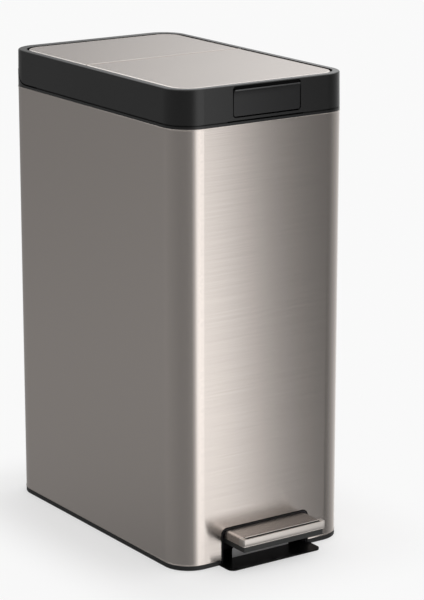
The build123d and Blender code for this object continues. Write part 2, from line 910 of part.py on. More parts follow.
# Collar: banded rim with a lip round the lid, a deck, and the mouth's chute
backing_gap = sheet + touch_gap
backing_front_y = panel_front_y + backing_gap
backing_rear_y = lid_rear_y - backing_gap
backing_screws = [
    (side * (mouth_half - lid_corner), screw_y)
    for side in (-1, 1)
    for screw_y in (backing_front_y + 4 * liner_wall, backing_rear_y - lid_corner)
]
with BuildPart() as collar:
    with BuildSketch(Plane.XY.offset(collar_bottom)):
        with Locations((0, mid_y)):
            RectangleRounded(body_width, body_depth, corner_radius)
    extrude(amount=body_height - collar_bottom, taper=collar_draft)
    fillet(collar.faces().sort_by(Axis.Z)[-1].edges(), collar_top_edge)
    with BuildSketch(Plane.XY.offset(collar_bottom)):
        with Locations((0, mid_y)):
            RectangleRounded(
                body_width - 2 * collar_wall,
                body_depth - 2 * collar_wall,
                corner_radius - collar_wall,
            )
    extrude(
        amount=body_height - lip_thickness - collar_bottom,
        taper=collar_draft,
        mode=Mode.SUBTRACT,
    )
    with BuildSketch(Plane.XY.offset(deck_bottom)):
        lid_window(lid_gap + lip_wall)
    extrude(amount=body_height - lip_thickness - deck_bottom)
    with BuildSketch(Plane.XY.offset(deck_top)):
        lid_window(lid_gap)
    extrude(amount=body_height - deck_top + beyond, mode=Mode.SUBTRACT)
    with BuildSketch(Plane.XY.offset(chute_bottom)):
        mouth(chute_wall)
    extrude(amount=deck_bottom - chute_bottom)
    with BuildSketch(Plane.XY.offset(chute_bottom)):
        mouth(0)
    extrude(amount=deck_top - chute_bottom, mode=Mode.SUBTRACT)
    # heel: a bar along the foot of the rear wall, hollowed once its outline is cut
    heel_half = half_width - corner_radius
    block(
        -heel_half,
        heel_half,
        collar_axis_y,
        back_y - collar_wall / 2,
        heel_bottom,
        collar_axis_z,
    )
    # side outline: level bottom, round knee and round heel about the tilt axis
    with BuildSketch(Plane.YZ.offset(-far_x)):
        knee_stop = knee_y + sqrt(knee_radius**2 - (knee_z - heel_bottom) ** 2)
        with BuildLine():
            Line((front_y - beyond, collar_bottom), (knee_y, collar_bottom))
            ThreePointArc(
                (knee_y, collar_bottom),
                (knee_y + knee_radius * sin(pi / 5), knee_z - knee_radius * cos(pi / 5)),
                (knee_stop, heel_bottom),
            )
            Line((knee_stop, heel_bottom), (collar_axis_y, heel_bottom))
            ThreePointArc(
                (collar_axis_y, heel_bottom),
                (
                    collar_axis_y + heel_radius * sin(pi / 4),
                    collar_axis_z - heel_radius * cos(pi / 4),
                ),
                (back_y, collar_axis_z),
            )
            Polyline(
                (back_y, collar_axis_z),
                (back_y + beyond, collar_axis_z),
                (back_y + beyond, body_height + beyond),
                (front_y - beyond, body_height + beyond),
                (front_y - beyond, collar_bottom),
            )
        make_face()
    extrude(amount=2 * far_x, mode=Mode.INTERSECT)
    along_x(
        -heel_half,
        heel_half,
        collar_axis_y,
        collar_axis_z,
        heel_radius - heel_wall,
        Mode.SUBTRACT,
    )
    for side in (-1, 1):
        # slot for the frame's knuckle, and the two ears beside it
        block(
            side * knuckle_x - knuckle_width / 2 - ear_gap,
            side * knuckle_x + knuckle_width / 2 + ear_gap,
            collar_axis_y - knuckle_radius,
            back_y + beyond,
            heel_bottom - beyond,
            collar_axis_z + knuckle_slot_rise,
            Mode.SUBTRACT,
        )
        for ear_side in (-1, 1):
            ear_x = side * knuckle_x + ear_side * (knuckle_width / 2 + ear_gap)
            along_x(
                ear_x, ear_x + ear_side * ear_thickness, collar_axis_y, collar_axis_z, ear_radius
            )
            block(
                ear_x,
                ear_x + ear_side * ear_thickness,
                lip_rear_y,
                back_y - collar_wall / 2,
                collar_axis_z,
                body_height - lip_thickness,
            )
        # block for the lid hinge's bush, and the slot for the crank
        block(
            side * lip_half,
            side * (lip_half + bush_block),
            seam_y - bush_block_half,
            seam_y + bush_block_half,
            deck_bottom,
            body_height - lip_thickness,
        )
        block(
            side * slot_inner,
            side * slot_outer,
            seam_y - slot_front_reach,
            seam_y - slot_rear_reach,
            deck_bottom - beyond,
            deck_top + beyond,
            Mode.SUBTRACT,
        )
        along_x(
            side * (lip_half - beyond),
            side * (lip_half + bush_length),
            seam_y,
            lid_axis_z,
            bush_radius + running,
            Mode.SUBTRACT,
        )
    along_x(
        -half_width + corner_radius,
        half_width - corner_radius,
        collar_axis_y,
        collar_axis_z,
        collar_pin_radius + running,
        Mode.SUBTRACT,
    )
    # latch window, pocket behind it, and the ears that hold the latch pin
    with BuildSketch(front_plane.offset(beyond)) as window_face:
        span(-latch_half - latch_gap, latch_half + latch_gap, window_bottom, window_top)
        fillet(window_face.vertices(), latch_corner + latch_gap)
    extrude(amount=-beyond - pocket_back / 2, mode=Mode.SUBTRACT)
    block(
        -latch_half - latch_gap - latch_ear,
        latch_half + latch_gap + latch_ear,
        front_y + pocket_back,
        front_y + pocket_back + pocket_wall,
        pocket_bottom,
        deck_bottom + deck_thickness / 2,
    )
    for side in (-1, 1):
        block(
            side * (latch_half + latch_gap),
            side * (latch_half + latch_gap + latch_ear),
            front_y + collar_wall / 2,
            front_y + pocket_back + pocket_wall,
            pocket_bottom,
            deck_bottom + deck_thickness / 2,
        )
        block(
            side * (latch_half + latch_gap),
            side * (latch_half + latch_gap + latch_ear),
            front_y + collar_wall / 2,
            latch_axis_y + latch_ear_back / 2,
            collar_bottom + beyond,
            pocket_bottom,
        )
    along_x(
        -latch_half - latch_gap - latch_ear - beyond,
        latch_half + latch_gap + latch_ear + beyond,
        latch_axis_y,
        latch_axis_z,
        latch_pin_radius + running,
        Mode.SUBTRACT,
    )
    for screw_x, screw_y in backing_screws:
        upright(
            screw_x, screw_y, deck_bottom, deck_top, screw_radius + touch_gap, Mode.SUBTRACT
        )
collar.part.label = "collar"
export_step(collar.part, "parts/collar.step")

with BuildPart() as lid_bushes:
    for side in (-1, 1):
        along_x(
            side * lip_half,
            side * (lip_half + bush_length - touch_gap),
            seam_y,
            lid_axis_z,
            bush_radius,
        )
    along_x(
        -half_width, half_width, seam_y, lid_axis_z, hinge_rod_radius + running, Mode.SUBTRACT
    )
lid_bushes.part.label = "lid_bushes"
export_step(lid_bushes.part, "parts/lid_bushes.step")

with BuildPart() as lid_bumpers:
    for side in (-1, 1):
        upright(
            side * mouth_half / 2,
            (lip_front_y + mouth_front_y) / 2,
            deck_top,
            deck_top + bumper_height,
            bumper_radius,
        )
        upright(
            side * bumper_x,
            (mouth_front_y + mouth_rear_y) / 2,
            deck_top,
            deck_top + bumper_height,
            bumper_radius,
        )
lid_bumpers.part.label = "lid_bumpers"
export_step(lid_bumpers.part, "parts/lid_bumpers.step")

with BuildPart() as latch_pin:
    along_x(
        -latch_half - latch_gap - latch_ear,
        latch_half + latch_gap + latch_ear,
        latch_axis_y,
        latch_axis_z,
        latch_pin_radius,
    )
latch_pin.part.label = "latch_pin"
export_step(latch_pin.part, "parts/latch_pin.step")


def panel_form(inset, y_front, y_rear, round_rear, bottom, top, edge):
    """A lid panel's block: two corners of its plan and three top edges are rounded."""
    with BuildPart() as form:
        with BuildSketch(Plane.XY.offset(bottom)) as plan:
            span(-lid_half + inset, lid_half - inset, y_front, y_rear)
            corners = plan.vertices().group_by(Axis.Y)[-1 if round_rear else 0]
            fillet(corners, lid_corner - inset)
        extrude(amount=top - bottom)
        if edge > 0:
            crown = form.faces().sort_by(Axis.Z)[-1].edges().sort_by(Axis.Y)
            fillet(crown[1:] if round_rear else crown[:-1], edge)
    return form.part


# Rear lid panel: fixed steel skin over a plastic backing on the collar's deck
rear_skin = panel_form(0, panel_front_y, lid_rear_y, True, lid_low, lid_top, lid_edge)
rear_hollow = panel_form(
    sheet,
    panel_front_y + sheet,
    lid_rear_y - sheet,
    True,
    lid_low - beyond,
    lid_top - sheet,
    lid_edge - sheet,
)
with BuildPart() as rear_lid_panel:
    add(rear_skin)
    add(rear_hollow, mode=Mode.SUBTRACT)
rear_lid_panel.part.label = "rear_lid_panel"
export_step(rear_lid_panel.part, "parts/rear_lid_panel.step")

rear_block = panel_form(
    backing_gap,
    backing_front_y,
    backing_rear_y,
    True,
    deck_top,
    liner_top,
    lid_edge - backing_gap,
)
with BuildPart() as rear_panel_backing:
    add(rear_block)
    with BuildSketch(Plane.XY.offset(deck_top)) as backing_hollow:
        span(
            -lid_half + backing_gap + liner_wall,
            lid_half - backing_gap - liner_wall,
            backing_front_y + liner_wall,
            backing_rear_y - liner_wall,
        )
        fillet(backing_hollow.vertices().group_by(Axis.Y)[-1], lid_corner - backing_gap - liner_wall)
    extrude(amount=liner_top - liner_wall - deck_top, mode=Mode.SUBTRACT)
    for rib_x in (-liner_rib_pitch, 0, liner_rib_pitch):
        block(
            rib_x - liner_rib / 2,
            rib_x + liner_rib / 2,
            backing_front_y + liner_wall / 2,
            backing_rear_y - liner_wall / 2,
            deck_top,
            liner_top - liner_wall / 2,
        )
    for screw_x, screw_y in backing_screws:
        upright(screw_x, screw_y, deck_top, liner_top - liner_wall / 2, screw_head_radius)
        upright(
            screw_x,
            screw_y,
            deck_top,
            deck_bottom + screw_length + touch_gap,
            screw_radius + touch_gap,
            Mode.SUBTRACT,
        )
rear_panel_backing.part.label = "rear_panel_backing"
export_step(rear_panel_backing.part, "parts/rear_panel_backing.step")

with BuildPart() as rear_panel_screws:
    for screw_x, screw_y in backing_screws:
        upright(screw_x, screw_y, deck_bottom - screw_head_height, deck_bottom, screw_head_radius)
        upright(screw_x, screw_y, deck_bottom, deck_bottom + screw_length, screw_radius)
rear_panel_screws.part.label = "rear_panel_screws"
export_step(rear_panel_screws.part, "parts/rear_panel_screws.step")

# Front lid: steel skin with a rolled rear edge, its rod, and a ribbed liner
lid_block = panel_form(0, lid_front_y, seam_y, False, lid_low, lid_top, lid_edge)
lid_hollow = panel_form(
    sheet,
    lid_front_y + sheet,
    seam_y + beyond,
    False,
    lid_low - beyond,
    lid_top - sheet,
    lid_edge - sheet,
)
with BuildPart() as lid_skin:
    add(lid_block)
    add(lid_hollow, mode=Mode.SUBTRACT)
    along_x(-lid_half, lid_half, seam_y, lid_axis_z, roll_radius)
    along_x(-lid_half, lid_half, seam_y, lid_axis_z, hinge_rod_radius + running, Mode.SUBTRACT)
lid_skin.part.label = "lid_skin"
export_step(lid_skin.part, "parts/lid_skin.step")

with BuildPart() as lid_hinge_rod:
    rod_end = lip_half + bush_length - touch_gap
    along_x(-rod_end, rod_end, seam_y, lid_axis_z, hinge_rod_radius)
lid_hinge_rod.part.label = "lid_hinge_rod"
export_step(lid_hinge_rod.part, "parts/lid_hinge_rod.step")

liner_gap = sheet + touch_gap
liner_rear_y = seam_y - roll_radius - clear_gap
liner_form = panel_form(
    liner_gap,
    lid_front_y + liner_gap,
    liner_rear_y,
    False,
    liner_bottom,
    liner_top,
    lid_edge - liner_gap,
)
crank_bar_low = liner_bottom + liner_wall
crank_screw_z = (crank_bar_low + liner_top) / 2
crank_screw_y = [seam_y - crank_front + 6, seam_y - crank_rear - 6]
with BuildPart() as lid_liner:
    add(liner_form)
    with BuildSketch(Plane.XY.offset(liner_bottom + liner_wall)) as liner_hollow:
        span(
            -lid_half + liner_gap + liner_wall,
            lid_half - liner_gap - liner_wall,
            lid_front_y + liner_gap + liner_wall,
            liner_rear_y - liner_wall,
        )
        fillet(liner_hollow.vertices().group_by(Axis.Y)[0], lid_corner - liner_gap - liner_wall)
    extrude(amount=lid_depth + liner_below, mode=Mode.SUBTRACT)
    for rib_x in (-liner_rib_pitch, 0, liner_rib_pitch):
        block(
            rib_x - liner_rib / 2,
            rib_x + liner_rib / 2,
            lid_front_y + liner_gap + liner_wall / 2,
            liner_rear_y - liner_wall / 2,
            liner_bottom + liner_wall / 2,
            liner_top,
        )
    for rib in (1, 2, 3):
        rib_y = lid_front_y + rib * liner_rib_pitch
        block(
            -lid_half + liner_gap + liner_wall / 2,
            lid_half - liner_gap - liner_wall / 2,
            rib_y - liner_rib / 2,
            rib_y + liner_rib / 2,
            liner_bottom + liner_wall / 2,
            liner_top,
        )
    for side in (-1, 1):
        block(
            side * (crank_inner - crank_boss),
            side * crank_inner,
            seam_y - crank_front,
            liner_rear_y - liner_wall / 2,
            liner_bottom + liner_wall / 2,
            liner_top,
        )
        block(
            side * (crank_inner - touch_gap),
            side * (crank_outer + touch_gap),
            seam_y - crank_front - touch_gap,
            seam_y - crank_rear + touch_gap,
            liner_bottom - beyond,
            liner_top + beyond,
            Mode.SUBTRACT,
        )
        for screw_y in crank_screw_y:
            along_x(
                side * (crank_inner - crank_boss + beyond),
                side * crank_inner,
                screw_y,
                crank_screw_z,
                screw_radius + touch_gap,
                Mode.SUBTRACT,
            )
lid_liner.part.label = "lid_liner"
export_step(lid_liner.part, "parts/lid_liner.step")

# Cranks: steel ears under the lid, each with a pin and roller over its lift rod
with BuildPart() as lid_cranks:
    for side in (-1, 1):
        with BuildSketch(Plane.YZ.offset(side * crank_inner)):
            with BuildLine():
                Polyline(
                    (seam_y - crank_front, liner_top),
                    (seam_y - crank_rear, liner_top),
                    (seam_y - crank_rear, liner_bottom),
                    (crank_pin_y + crank_foot, crank_pin_z - crank_foot),
                    (crank_pin_y - crank_foot, crank_pin_z - crank_foot),
                    (seam_y - crank_front, liner_bottom),
                    close=True,
                )
            make_face()
            for screw_y in crank_screw_y:
                with Locations((screw_y, crank_screw_z)):
                    Circle(screw_radius + touch_gap, mode=Mode.SUBTRACT)
        extrude(amount=side * crank_thickness)
        along_x(
            side * (crank_outer - beyond),
            side * (crank_outer + crank_roller_length + 2 * clear_gap),
            crank_pin_y,
            crank_pin_z,
            crank_pin_radius,
        )
lid_cranks.part.label = "lid_cranks"
export_step(lid_cranks.part, "parts/lid_cranks.step")

with BuildPart() as crank_rollers:
    for side in (-1, 1):
        along_x(
            side * (crank_outer + clear_gap),
            side * (crank_outer + clear_gap + crank_roller_length),
            crank_pin_y,
            crank_pin_z,
            crank_roller_radius,
        )
    along_x(
        -half_width,
        half_width,
        crank_pin_y,
        crank_pin_z,
        crank_pin_radius + running,
        Mode.SUBTRACT,
    )
crank_rollers.part.label = "crank_rollers"
export_step(crank_rollers.part, "parts/crank_rollers.step")

with BuildPart() as crank_screws:
    for side in (-1, 1):
        for screw_y in crank_screw_y:
            along_x(
                side * (crank_inner - crank_boss + 2 * beyond),
                side * crank_outer,
                screw_y,
                crank_screw_z,
                screw_radius,
            )
            along_x(
                side * crank_outer,
                side * (crank_outer + screw_head_height),
                screw_y,
                crank_screw_z,
                screw_head_radius - screw_radius / 2,
            )
crank_screws.part.label = "crank_screws"
export_step(crank_screws.part, "parts/crank_screws.step")

# Latch handle: flush plate with a flared top lip, hub, and two catch arms
latch_front_y = front_y + latch_face
arm_front_y = front_y + keeper_rear_back + latch_arm_gap
with BuildPart() as latch_handle:
    with BuildSketch(Plane.YZ.offset(-latch_half)):
        with BuildLine():
            Line((latch_front_y, latch_bottom), (latch_front_y, latch_flare_start))
            Bezier(
                (latch_front_y, latch_flare_start),
                (latch_front_y, (latch_flare_start + latch_top) / 2),
                (latch_front_y - latch_flare, latch_top),
            )
            Line((latch_front_y - latch_flare, latch_top), (latch_front_y + 1, latch_top))
            Bezier(
                (latch_front_y + 1, latch_top),
                (latch_front_y + latch_wall, (latch_flare_start + latch_top) / 2),
                (latch_front_y + latch_wall, latch_flare_start),
            )
            Polyline(
                (latch_front_y + latch_wall, latch_flare_start),
                (latch_front_y + latch_wall, latch_bottom),
                (latch_front_y, latch_bottom),
            )
        make_face()
    extrude(amount=2 * latch_half)
    lower_corners = latch_handle.edges().filter_by(Axis.Y).group_by(Axis.Z)[0]
    fillet(lower_corners, latch_corner)
    along_x(-latch_hub_half, latch_hub_half, latch_axis_y, latch_axis_z, latch_hub_radius)
    for side in (-1, 1):
        with BuildSketch(Plane.YZ.offset(side * keeper_x - latch_arm_width / 2)):
            with BuildLine():
                Polyline(
                    (latch_axis_y, latch_axis_z + latch_hub_radius - 1),
                    (arm_front_y + latch_arm_wall, latch_axis_z),
                    (arm_front_y + latch_arm_wall, latch_arm_bottom),
                    (arm_front_y + latch_arm_wall / 2, latch_arm_bottom),
                    (arm_front_y, latch_arm_bottom + 2),
                    (arm_front_y, keeper_top + 2),
                    (latch_axis_y, latch_axis_z - latch_hub_radius + 1),
                    close=True,
                )
            make_face()
        extrude(amount=latch_arm_width)
    along_x(
        latch_hub_half,
        latch_hub_half + spring_room,
        latch_axis_y,
        latch_axis_z,
        spring_coil + spring_wire + clear_gap,
        Mode.SUBTRACT,
    )
    along_x(
        -half_width,
        half_width,
        latch_axis_y,
        latch_axis_z,
        latch_pin_radius + running,
        Mode.SUBTRACT,
    )
latch_handle.part.label = "latch_handle"
export_step(latch_handle.part, "parts/latch_handle.step")

# Latch spring: one wire wound round the pin
spring_start = latch_hub_half + 2 * spring_wire
with BuildPart() as latch_spring:
    with BuildLine() as coil:
        Helix(
            spring_pitch,
            spring_pitch * spring_turns,
            spring_coil,
            center=(spring_start, latch_axis_y, latch_axis_z),
            direction=(1, 0, 0),
        )
    with BuildSketch(Plane(origin=coil.line @ 0, z_dir=coil.line % 0)):
        Circle(spring_wire)
    sweep(path=coil.line, is_frenet=True)
latch_spring.part.label = "latch_spring"
export_step(latch_spring.part, "parts/latch_spring.step")


def lift_rod(side):
    """Flat steel strip that the lever pushes up, from its shoe to its cap."""
    with BuildPart() as rod:
        block(
            side * rod_inner,
            side * rod_outer,
            rod_y - rod_width / 2,
            rod_y + rod_width / 2,
            rod_shoe_bottom + cap_height - rod_grip,
            rod_cap_top - cap_height + rod_grip,
        )
    return rod


def rod_end_piece(side, inner, outer, low, high, grip_low, grip_high):
    """Plastic end of a lift rod, with a pocket for the strip."""
    with BuildPart() as end:
        block(
            side * inner,
            side * outer,
            rod_y - cap_length / 2,
            rod_y + cap_length / 2,
            low,
            high,
        )
        fillet(end.edges().filter_by(Axis.X), 1.5)
        block(
            side * (rod_inner - touch_gap),
            side * (rod_outer + touch_gap),
            rod_y - rod_width / 2 - touch_gap,
            rod_y + rod_width / 2 + touch_gap,
            grip_low,
            grip_high,
            Mode.SUBTRACT,
        )
    return end


cap_low = rod_cap_top - cap_height
shoe_high = rod_shoe_bottom + cap_height
for side, hand in ((-1, "left"), (1, "right")):
    lift_rod_side = lift_rod(side)
    lift_rod_side.part.label = f"lift_rod_{hand}"
    export_step(lift_rod_side.part, f"parts/lift_rod_{hand}.step")
    rod_cap = rod_end_piece(
        side, cap_inner, cap_outer, cap_low, rod_cap_top, cap_low - beyond, cap_low + rod_grip
    )
    rod_cap.part.label = f"rod_cap_{hand}"
    export_step(rod_cap.part, f"parts/rod_cap_{hand}.step")
    rod_shoe = rod_end_piece(
        side,
        shoe_inner,
        shoe_outer,
        rod_shoe_bottom,
        shoe_high,
        shoe_high - rod_grip,
        shoe_high + beyond,
    )
    rod_shoe.part.label = f"rod_shoe_{hand}"
    export_step(rod_shoe.part, f"parts/rod_shoe_{hand}.step")

# Guides on the inside of the wrap that keep the lift rods upright
with BuildPart() as rod_guides:
    for side in (-1, 1):
        for guide_z in guide_heights:
            block(
                side * guide_inner,
                side * side_inside,
                rod_y - guide_length / 2,
                rod_y + guide_length / 2,
                guide_z,
                guide_z + guide_height,
            )
            block(
                side * (rod_inner - clear_gap),
                side * (rod_outer + clear_gap),
                rod_y - rod_width / 2 - clear_gap,
                rod_y + rod_width / 2 + clear_gap,
                guide_z - beyond,
                guide_z + guide_height + beyond,
                Mode.SUBTRACT,
            )
rod_guides.part.label = "rod_guides"
export_step(rod_guides.part, "parts/rod_guides.step")

# Damper: air cylinder in a saddle on the wrap, its cap, and a piston on the right rod
damper_top = damper_bottom + damper_length
with BuildPart() as damper_cylinder:
    upright(damper_x, damper_y, damper_bottom, damper_top, damper_radius)
    upright(
        damper_x,
        damper_y,
        damper_bottom,
        damper_top - damper_cap_height,
        damper_bore,
        Mode.SUBTRACT,
    )
damper_cylinder.part.label = "damper_cylinder"
export_step(damper_cylinder.part, "parts/damper_cylinder.step")

with BuildPart() as damper_cap:
    upright(damper_x, damper_y, damper_bottom - damper_cap_height, damper_bottom, damper_radius)
    upright(
        damper_x,
        damper_y,
        damper_bottom,
        damper_bottom + damper_cap_height,
        damper_bore - touch_gap,
    )
    upright(
        damper_x,
        damper_y,
        damper_bottom - damper_cap_height,
        damper_bottom + damper_cap_height,
        piston_rod_radius + damper_seal_gap,
        Mode.SUBTRACT,
    )
damper_cap.part.label = "damper_cap"
export_step(damper_cap.part, "parts/damper_cap.step")

with BuildPart() as damper_saddle:
    block(
        damper_x,
        side_inside,
        damper_y - saddle_half,
        damper_y + saddle_half,
        saddle_bottom,
        saddle_bottom + saddle_height,
    )
    upright(
        damper_x,
        damper_y,
        saddle_bottom,
        saddle_bottom + saddle_height,
        damper_radius + running,
        Mode.SUBTRACT,
    )
damper_saddle.part.label = "damper_saddle"
export_step(damper_saddle.part, "parts/damper_saddle.step")

piston_low = damper_bottom + piston_start
with BuildPart() as damper_piston:
    upright(
        damper_x,
        damper_y,
        piston_low,
        piston_low + piston_thickness,
        damper_bore - damper_seal_gap,
    )
    upright(damper_x, damper_y, piston_foot_bottom, piston_low, piston_rod_radius)
    block(
        rod_outer,
        damper_x + 2 * piston_rod_radius,
        rod_y - rod_width / 2,
        damper_y + 2 * piston_rod_radius,
        piston_foot_bottom,
        piston_foot_bottom + piston_foot_height,
    )
damper_piston.part.label = "damper_piston"
export_step(damper_piston.part, "parts/damper_piston.step")

print(f"pedal swing {pedal_swing:.3f} deg, rod lift {2 * crank_drop:.3f} mm")
print(f"rod at y {rod_y:.2f}, lid axis y {seam_y:.2f} z {lid_axis_z:.2f}")
print(f"collar axis y {collar_axis_y:.2f} z {collar_axis_z:.2f}, latch axis y {latch_axis_y:.2f}")
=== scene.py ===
import math

import bpy
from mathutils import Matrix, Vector


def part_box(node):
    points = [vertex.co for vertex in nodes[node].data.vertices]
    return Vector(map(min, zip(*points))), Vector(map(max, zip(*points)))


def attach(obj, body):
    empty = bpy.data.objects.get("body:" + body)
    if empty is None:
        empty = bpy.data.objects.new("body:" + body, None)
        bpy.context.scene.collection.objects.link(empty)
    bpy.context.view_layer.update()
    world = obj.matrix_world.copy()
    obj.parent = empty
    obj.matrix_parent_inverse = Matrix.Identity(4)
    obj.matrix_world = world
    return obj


# Step trash can: steel wrap, black collar, split steel lid, wide foot pedal.
# Metres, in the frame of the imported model: front is -Y, floor is z = 0.

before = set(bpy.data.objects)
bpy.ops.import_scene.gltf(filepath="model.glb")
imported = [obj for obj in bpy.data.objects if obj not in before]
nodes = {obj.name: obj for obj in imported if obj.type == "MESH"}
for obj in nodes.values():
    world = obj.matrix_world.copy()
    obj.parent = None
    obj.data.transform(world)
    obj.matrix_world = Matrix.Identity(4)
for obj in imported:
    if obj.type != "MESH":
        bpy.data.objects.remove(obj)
scene = bpy.context.scene
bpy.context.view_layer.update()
print("frame loaded, nodes:", len(nodes))


# helpers for materials
def newMaterial(name):
    material = bpy.data.materials.new(name)
    material.use_nodes = True
    tree = material.node_tree
    shader = tree.nodes["Principled BSDF"]
    return material, tree, shader


def addNode(tree, kind, x, y, **settings):
    node = tree.nodes.new(kind)
    node.location = (x, y)
    for key, value in settings.items():
        setattr(node, key, value)
    return node


def addMath(tree, x, y, operation):
    return addNode(tree, "ShaderNodeMath", x, y, operation=operation)


def addNoise(tree, x, y, scale, detail=2.0):
    noise = addNode(tree, "ShaderNodeTexNoise", x, y)
    noise.inputs["Scale"].default_value = scale
    noise.inputs["Detail"].default_value = detail
    return noise


def addRange(tree, x, y, fromRange, toRange, **settings):
    node = addNode(tree, "ShaderNodeMapRange", x, y, **settings)
    node.inputs["From Min"].default_value = fromRange[0]
    node.inputs["From Max"].default_value = fromRange[1]
    node.inputs["To Min"].default_value = toRange[0]
    node.inputs["To Max"].default_value = toRange[1]
    return node


def setRamp(ramp, stops):
    elements = ramp.color_ramp.elements
    while len(elements) > 1:
        elements.remove(elements[-1])
    elements[0].position = stops[0][0]
    elements[0].color = (*stops[0][1], 1)
    for position, colour in stops[1:]:
        elements.new(position).color = (*colour, 1)


finish = {
    "darkAt": 0.3,          # noise values where a finish is darkest and lightest
    "lightAt": 0.7,
    "bumpDepth": 0.0002,
}


def addTone(tree, colour, spread):
    tone = addNode(tree, "ShaderNodeValToRGB", -650, 100)
    darkest = [c * (1 - spread) for c in colour]
    lightest = [min(1, c * (1 + spread)) for c in colour]
    setRamp(tone, [(finish["darkAt"], darkest), (finish["lightAt"], lightest)])
    return tone


def addBump(tree, strength):
    bump = addNode(tree, "ShaderNodeBump", -300, -250)
    bump.inputs["Strength"].default_value = strength
    bump.inputs["Distance"].default_value = finish["bumpDepth"]
    return bump


def putMaterial(material, *nodeNames):
    for nodeName in nodeNames:
        mesh = nodes[nodeName].data
        mesh.materials.clear()
        mesh.materials.append(material)


brushed = {
    "colour": (0.615, 0.56, 0.522),
    "roughness": 0.21,
    "anisotropy": 0.9,
    "brushTurn": 0.25,      # the blur runs up and down, across the brush lines
    "lineSize": 1400.0,     # noise cells per metre across the brush lines
    "lineLength": 9.0,      # and along them
    "detail": 3.0,
    "spread": 0.05,         # share by which the tone goes up and down
    "bump": 0.04,
}


def brushedSteel(
    name, brushAlong, tangentAxis,
    colour=brushed["colour"],
    roughness=brushed["roughness"],
    brushTurn=brushed["brushTurn"],
):
    material, tree, shader = newMaterial(name)
    shader.inputs["Metallic"].default_value = 1.0
    shader.inputs["Roughness"].default_value = roughness
    shader.inputs["Anisotropic"].default_value = brushed["anisotropy"]
    shader.inputs["Anisotropic Rotation"].default_value = brushTurn
    place = addNode(tree, "ShaderNodeTexCoord", -1300, 0)
    stretch = addNode(tree, "ShaderNodeMapping", -1100, 0)
    fine, long = brushed["lineSize"], brushed["lineLength"]
    stretch.inputs["Scale"].default_value = [long if axis == brushAlong else fine for axis in "XYZ"]
    lines = addNoise(tree, -900, 0, 1.0, brushed["detail"])
    tone = addTone(tree, colour, brushed["spread"])
    bump = addBump(tree, brushed["bump"])
    grain = addNode(tree, "ShaderNodeTangent", -300, -450, direction_type="RADIAL", axis=tangentAxis)
    link = tree.links.new
    link(place.outputs["Object"], stretch.inputs["Vector"])
    link(stretch.outputs["Vector"], lines.inputs["Vector"])
    link(lines.outputs["Fac"], tone.inputs["Fac"])
    link(tone.outputs["Color"], shader.inputs["Base Color"])
    link(lines.outputs["Fac"], bump.inputs["Height"])
    link(bump.outputs["Normal"], shader.inputs["Normal"])
    link(grain.outputs["Tangent"], shader.inputs["Tangent"])
    return material


polished = {
    "cloudSize": 60.0,
    "spread": 0.03,
    "roughSpread": 0.1,     # share by which the roughness goes up and down
}


def polishedMetal(name, colour, roughness):
    material, tree, shader = newMaterial(name)
    shader.inputs["Metallic"].default_value = 1.0
    place = addNode(tree, "ShaderNodeTexCoord", -1100, 0)
    cloud = addNoise(tree, -900, 0, polished["cloudSize"])
    tone = addTone(tree, colour, polished["spread"])
    swing = polished["roughSpread"]
    polish = addRange(
        tree, -650, -200, (0, 1), (roughness * (1 - swing), roughness * (1 + swing)))
    link = tree.links.new
    link(place.outputs["Object"], cloud.inputs["Vector"])
    link(cloud.outputs["Fac"], tone.inputs["Fac"])
    link(cloud.outputs["Fac"], polish.inputs["Value"])
    link(tone.outputs["Color"], shader.inputs["Base Color"])
    link(polish.outputs["Result"], shader.inputs["Roughness"])
    return material


moulded = {
    "cloudSize": 9.0,
    "spread": 0.08,
    "grainSize": 900.0,
    "grainDepth": 0.05,
}


def mouldedPlastic(
    name, colour, roughness,
    grainSize=moulded["grainSize"],
    grainDepth=moulded["grainDepth"],
    specular=0.5,
):
    material, tree, shader = newMaterial(name)
    shader.inputs["Roughness"].default_value = roughness
    shader.inputs["Specular IOR Level"].default_value = specular
    place = addNode(tree, "ShaderNodeTexCoord", -1100, 0)
    grain = addNoise(tree, -900, -100, grainSize)
    cloud = addNoise(tree, -900, 200, moulded["cloudSize"])
    tone = addTone(tree, colour, moulded["spread"])
    bump = addBump(tree, grainDepth)
    link = tree.links.new
    link(place.outputs["Object"], grain.inputs["Vector"])
    link(place.outputs["Object"], cloud.inputs["Vector"])
    link(cloud.outputs["Fac"], tone.inputs["Fac"])
    link(tone.outputs["Color"], shader.inputs["Base Color"])
    link(grain.outputs["Fac"], bump.inputs["Height"])
    link(bump.outputs["Normal"], shader.inputs["Normal"])
    return material


wrapSteel = brushedSteel("wrapSteel", "X", "Z")
lidSteel = brushedSteel("lidSteel", "X", "Y")
pedalSteel = brushedSteel("pedalSteel", "X", "Y")
barSteel = brushedSteel("barSteel", "X", "Z", (0.67, 0.625, 0.585), 0.34, 0.0)
polishedEdge = polishedMetal("polishedEdge", (0.72, 0.68, 0.65), 0.42)
bareSteel = brushedSteel("bareSteel", "Z", "Z", (0.5, 0.5, 0.5), 0.4)
collarPlastic = mouldedPlastic("collarPlastic", (0.010, 0.010, 0.010), 0.21, specular=0.40)
latchPlastic = mouldedPlastic("latchPlastic", (0.008, 0.008, 0.0084), 0.22, specular=0.42)
# black for the real trim round the pedal recess, and also painted shade in the tread's groove and
# the latch's slot
trimAndShadeBlack = mouldedPlastic("trimAndShadeBlack", (0.003, 0.003, 0.003), 0.6, specular=0.08)
# lighter than the latch's plastic: painted highlight along the lip's edge; its higher gloss is real
lipPaintedHighlight = mouldedPlastic("lipPaintedHighlight", (0.035, 0.035, 0.036), 0.3, specular=0.6)
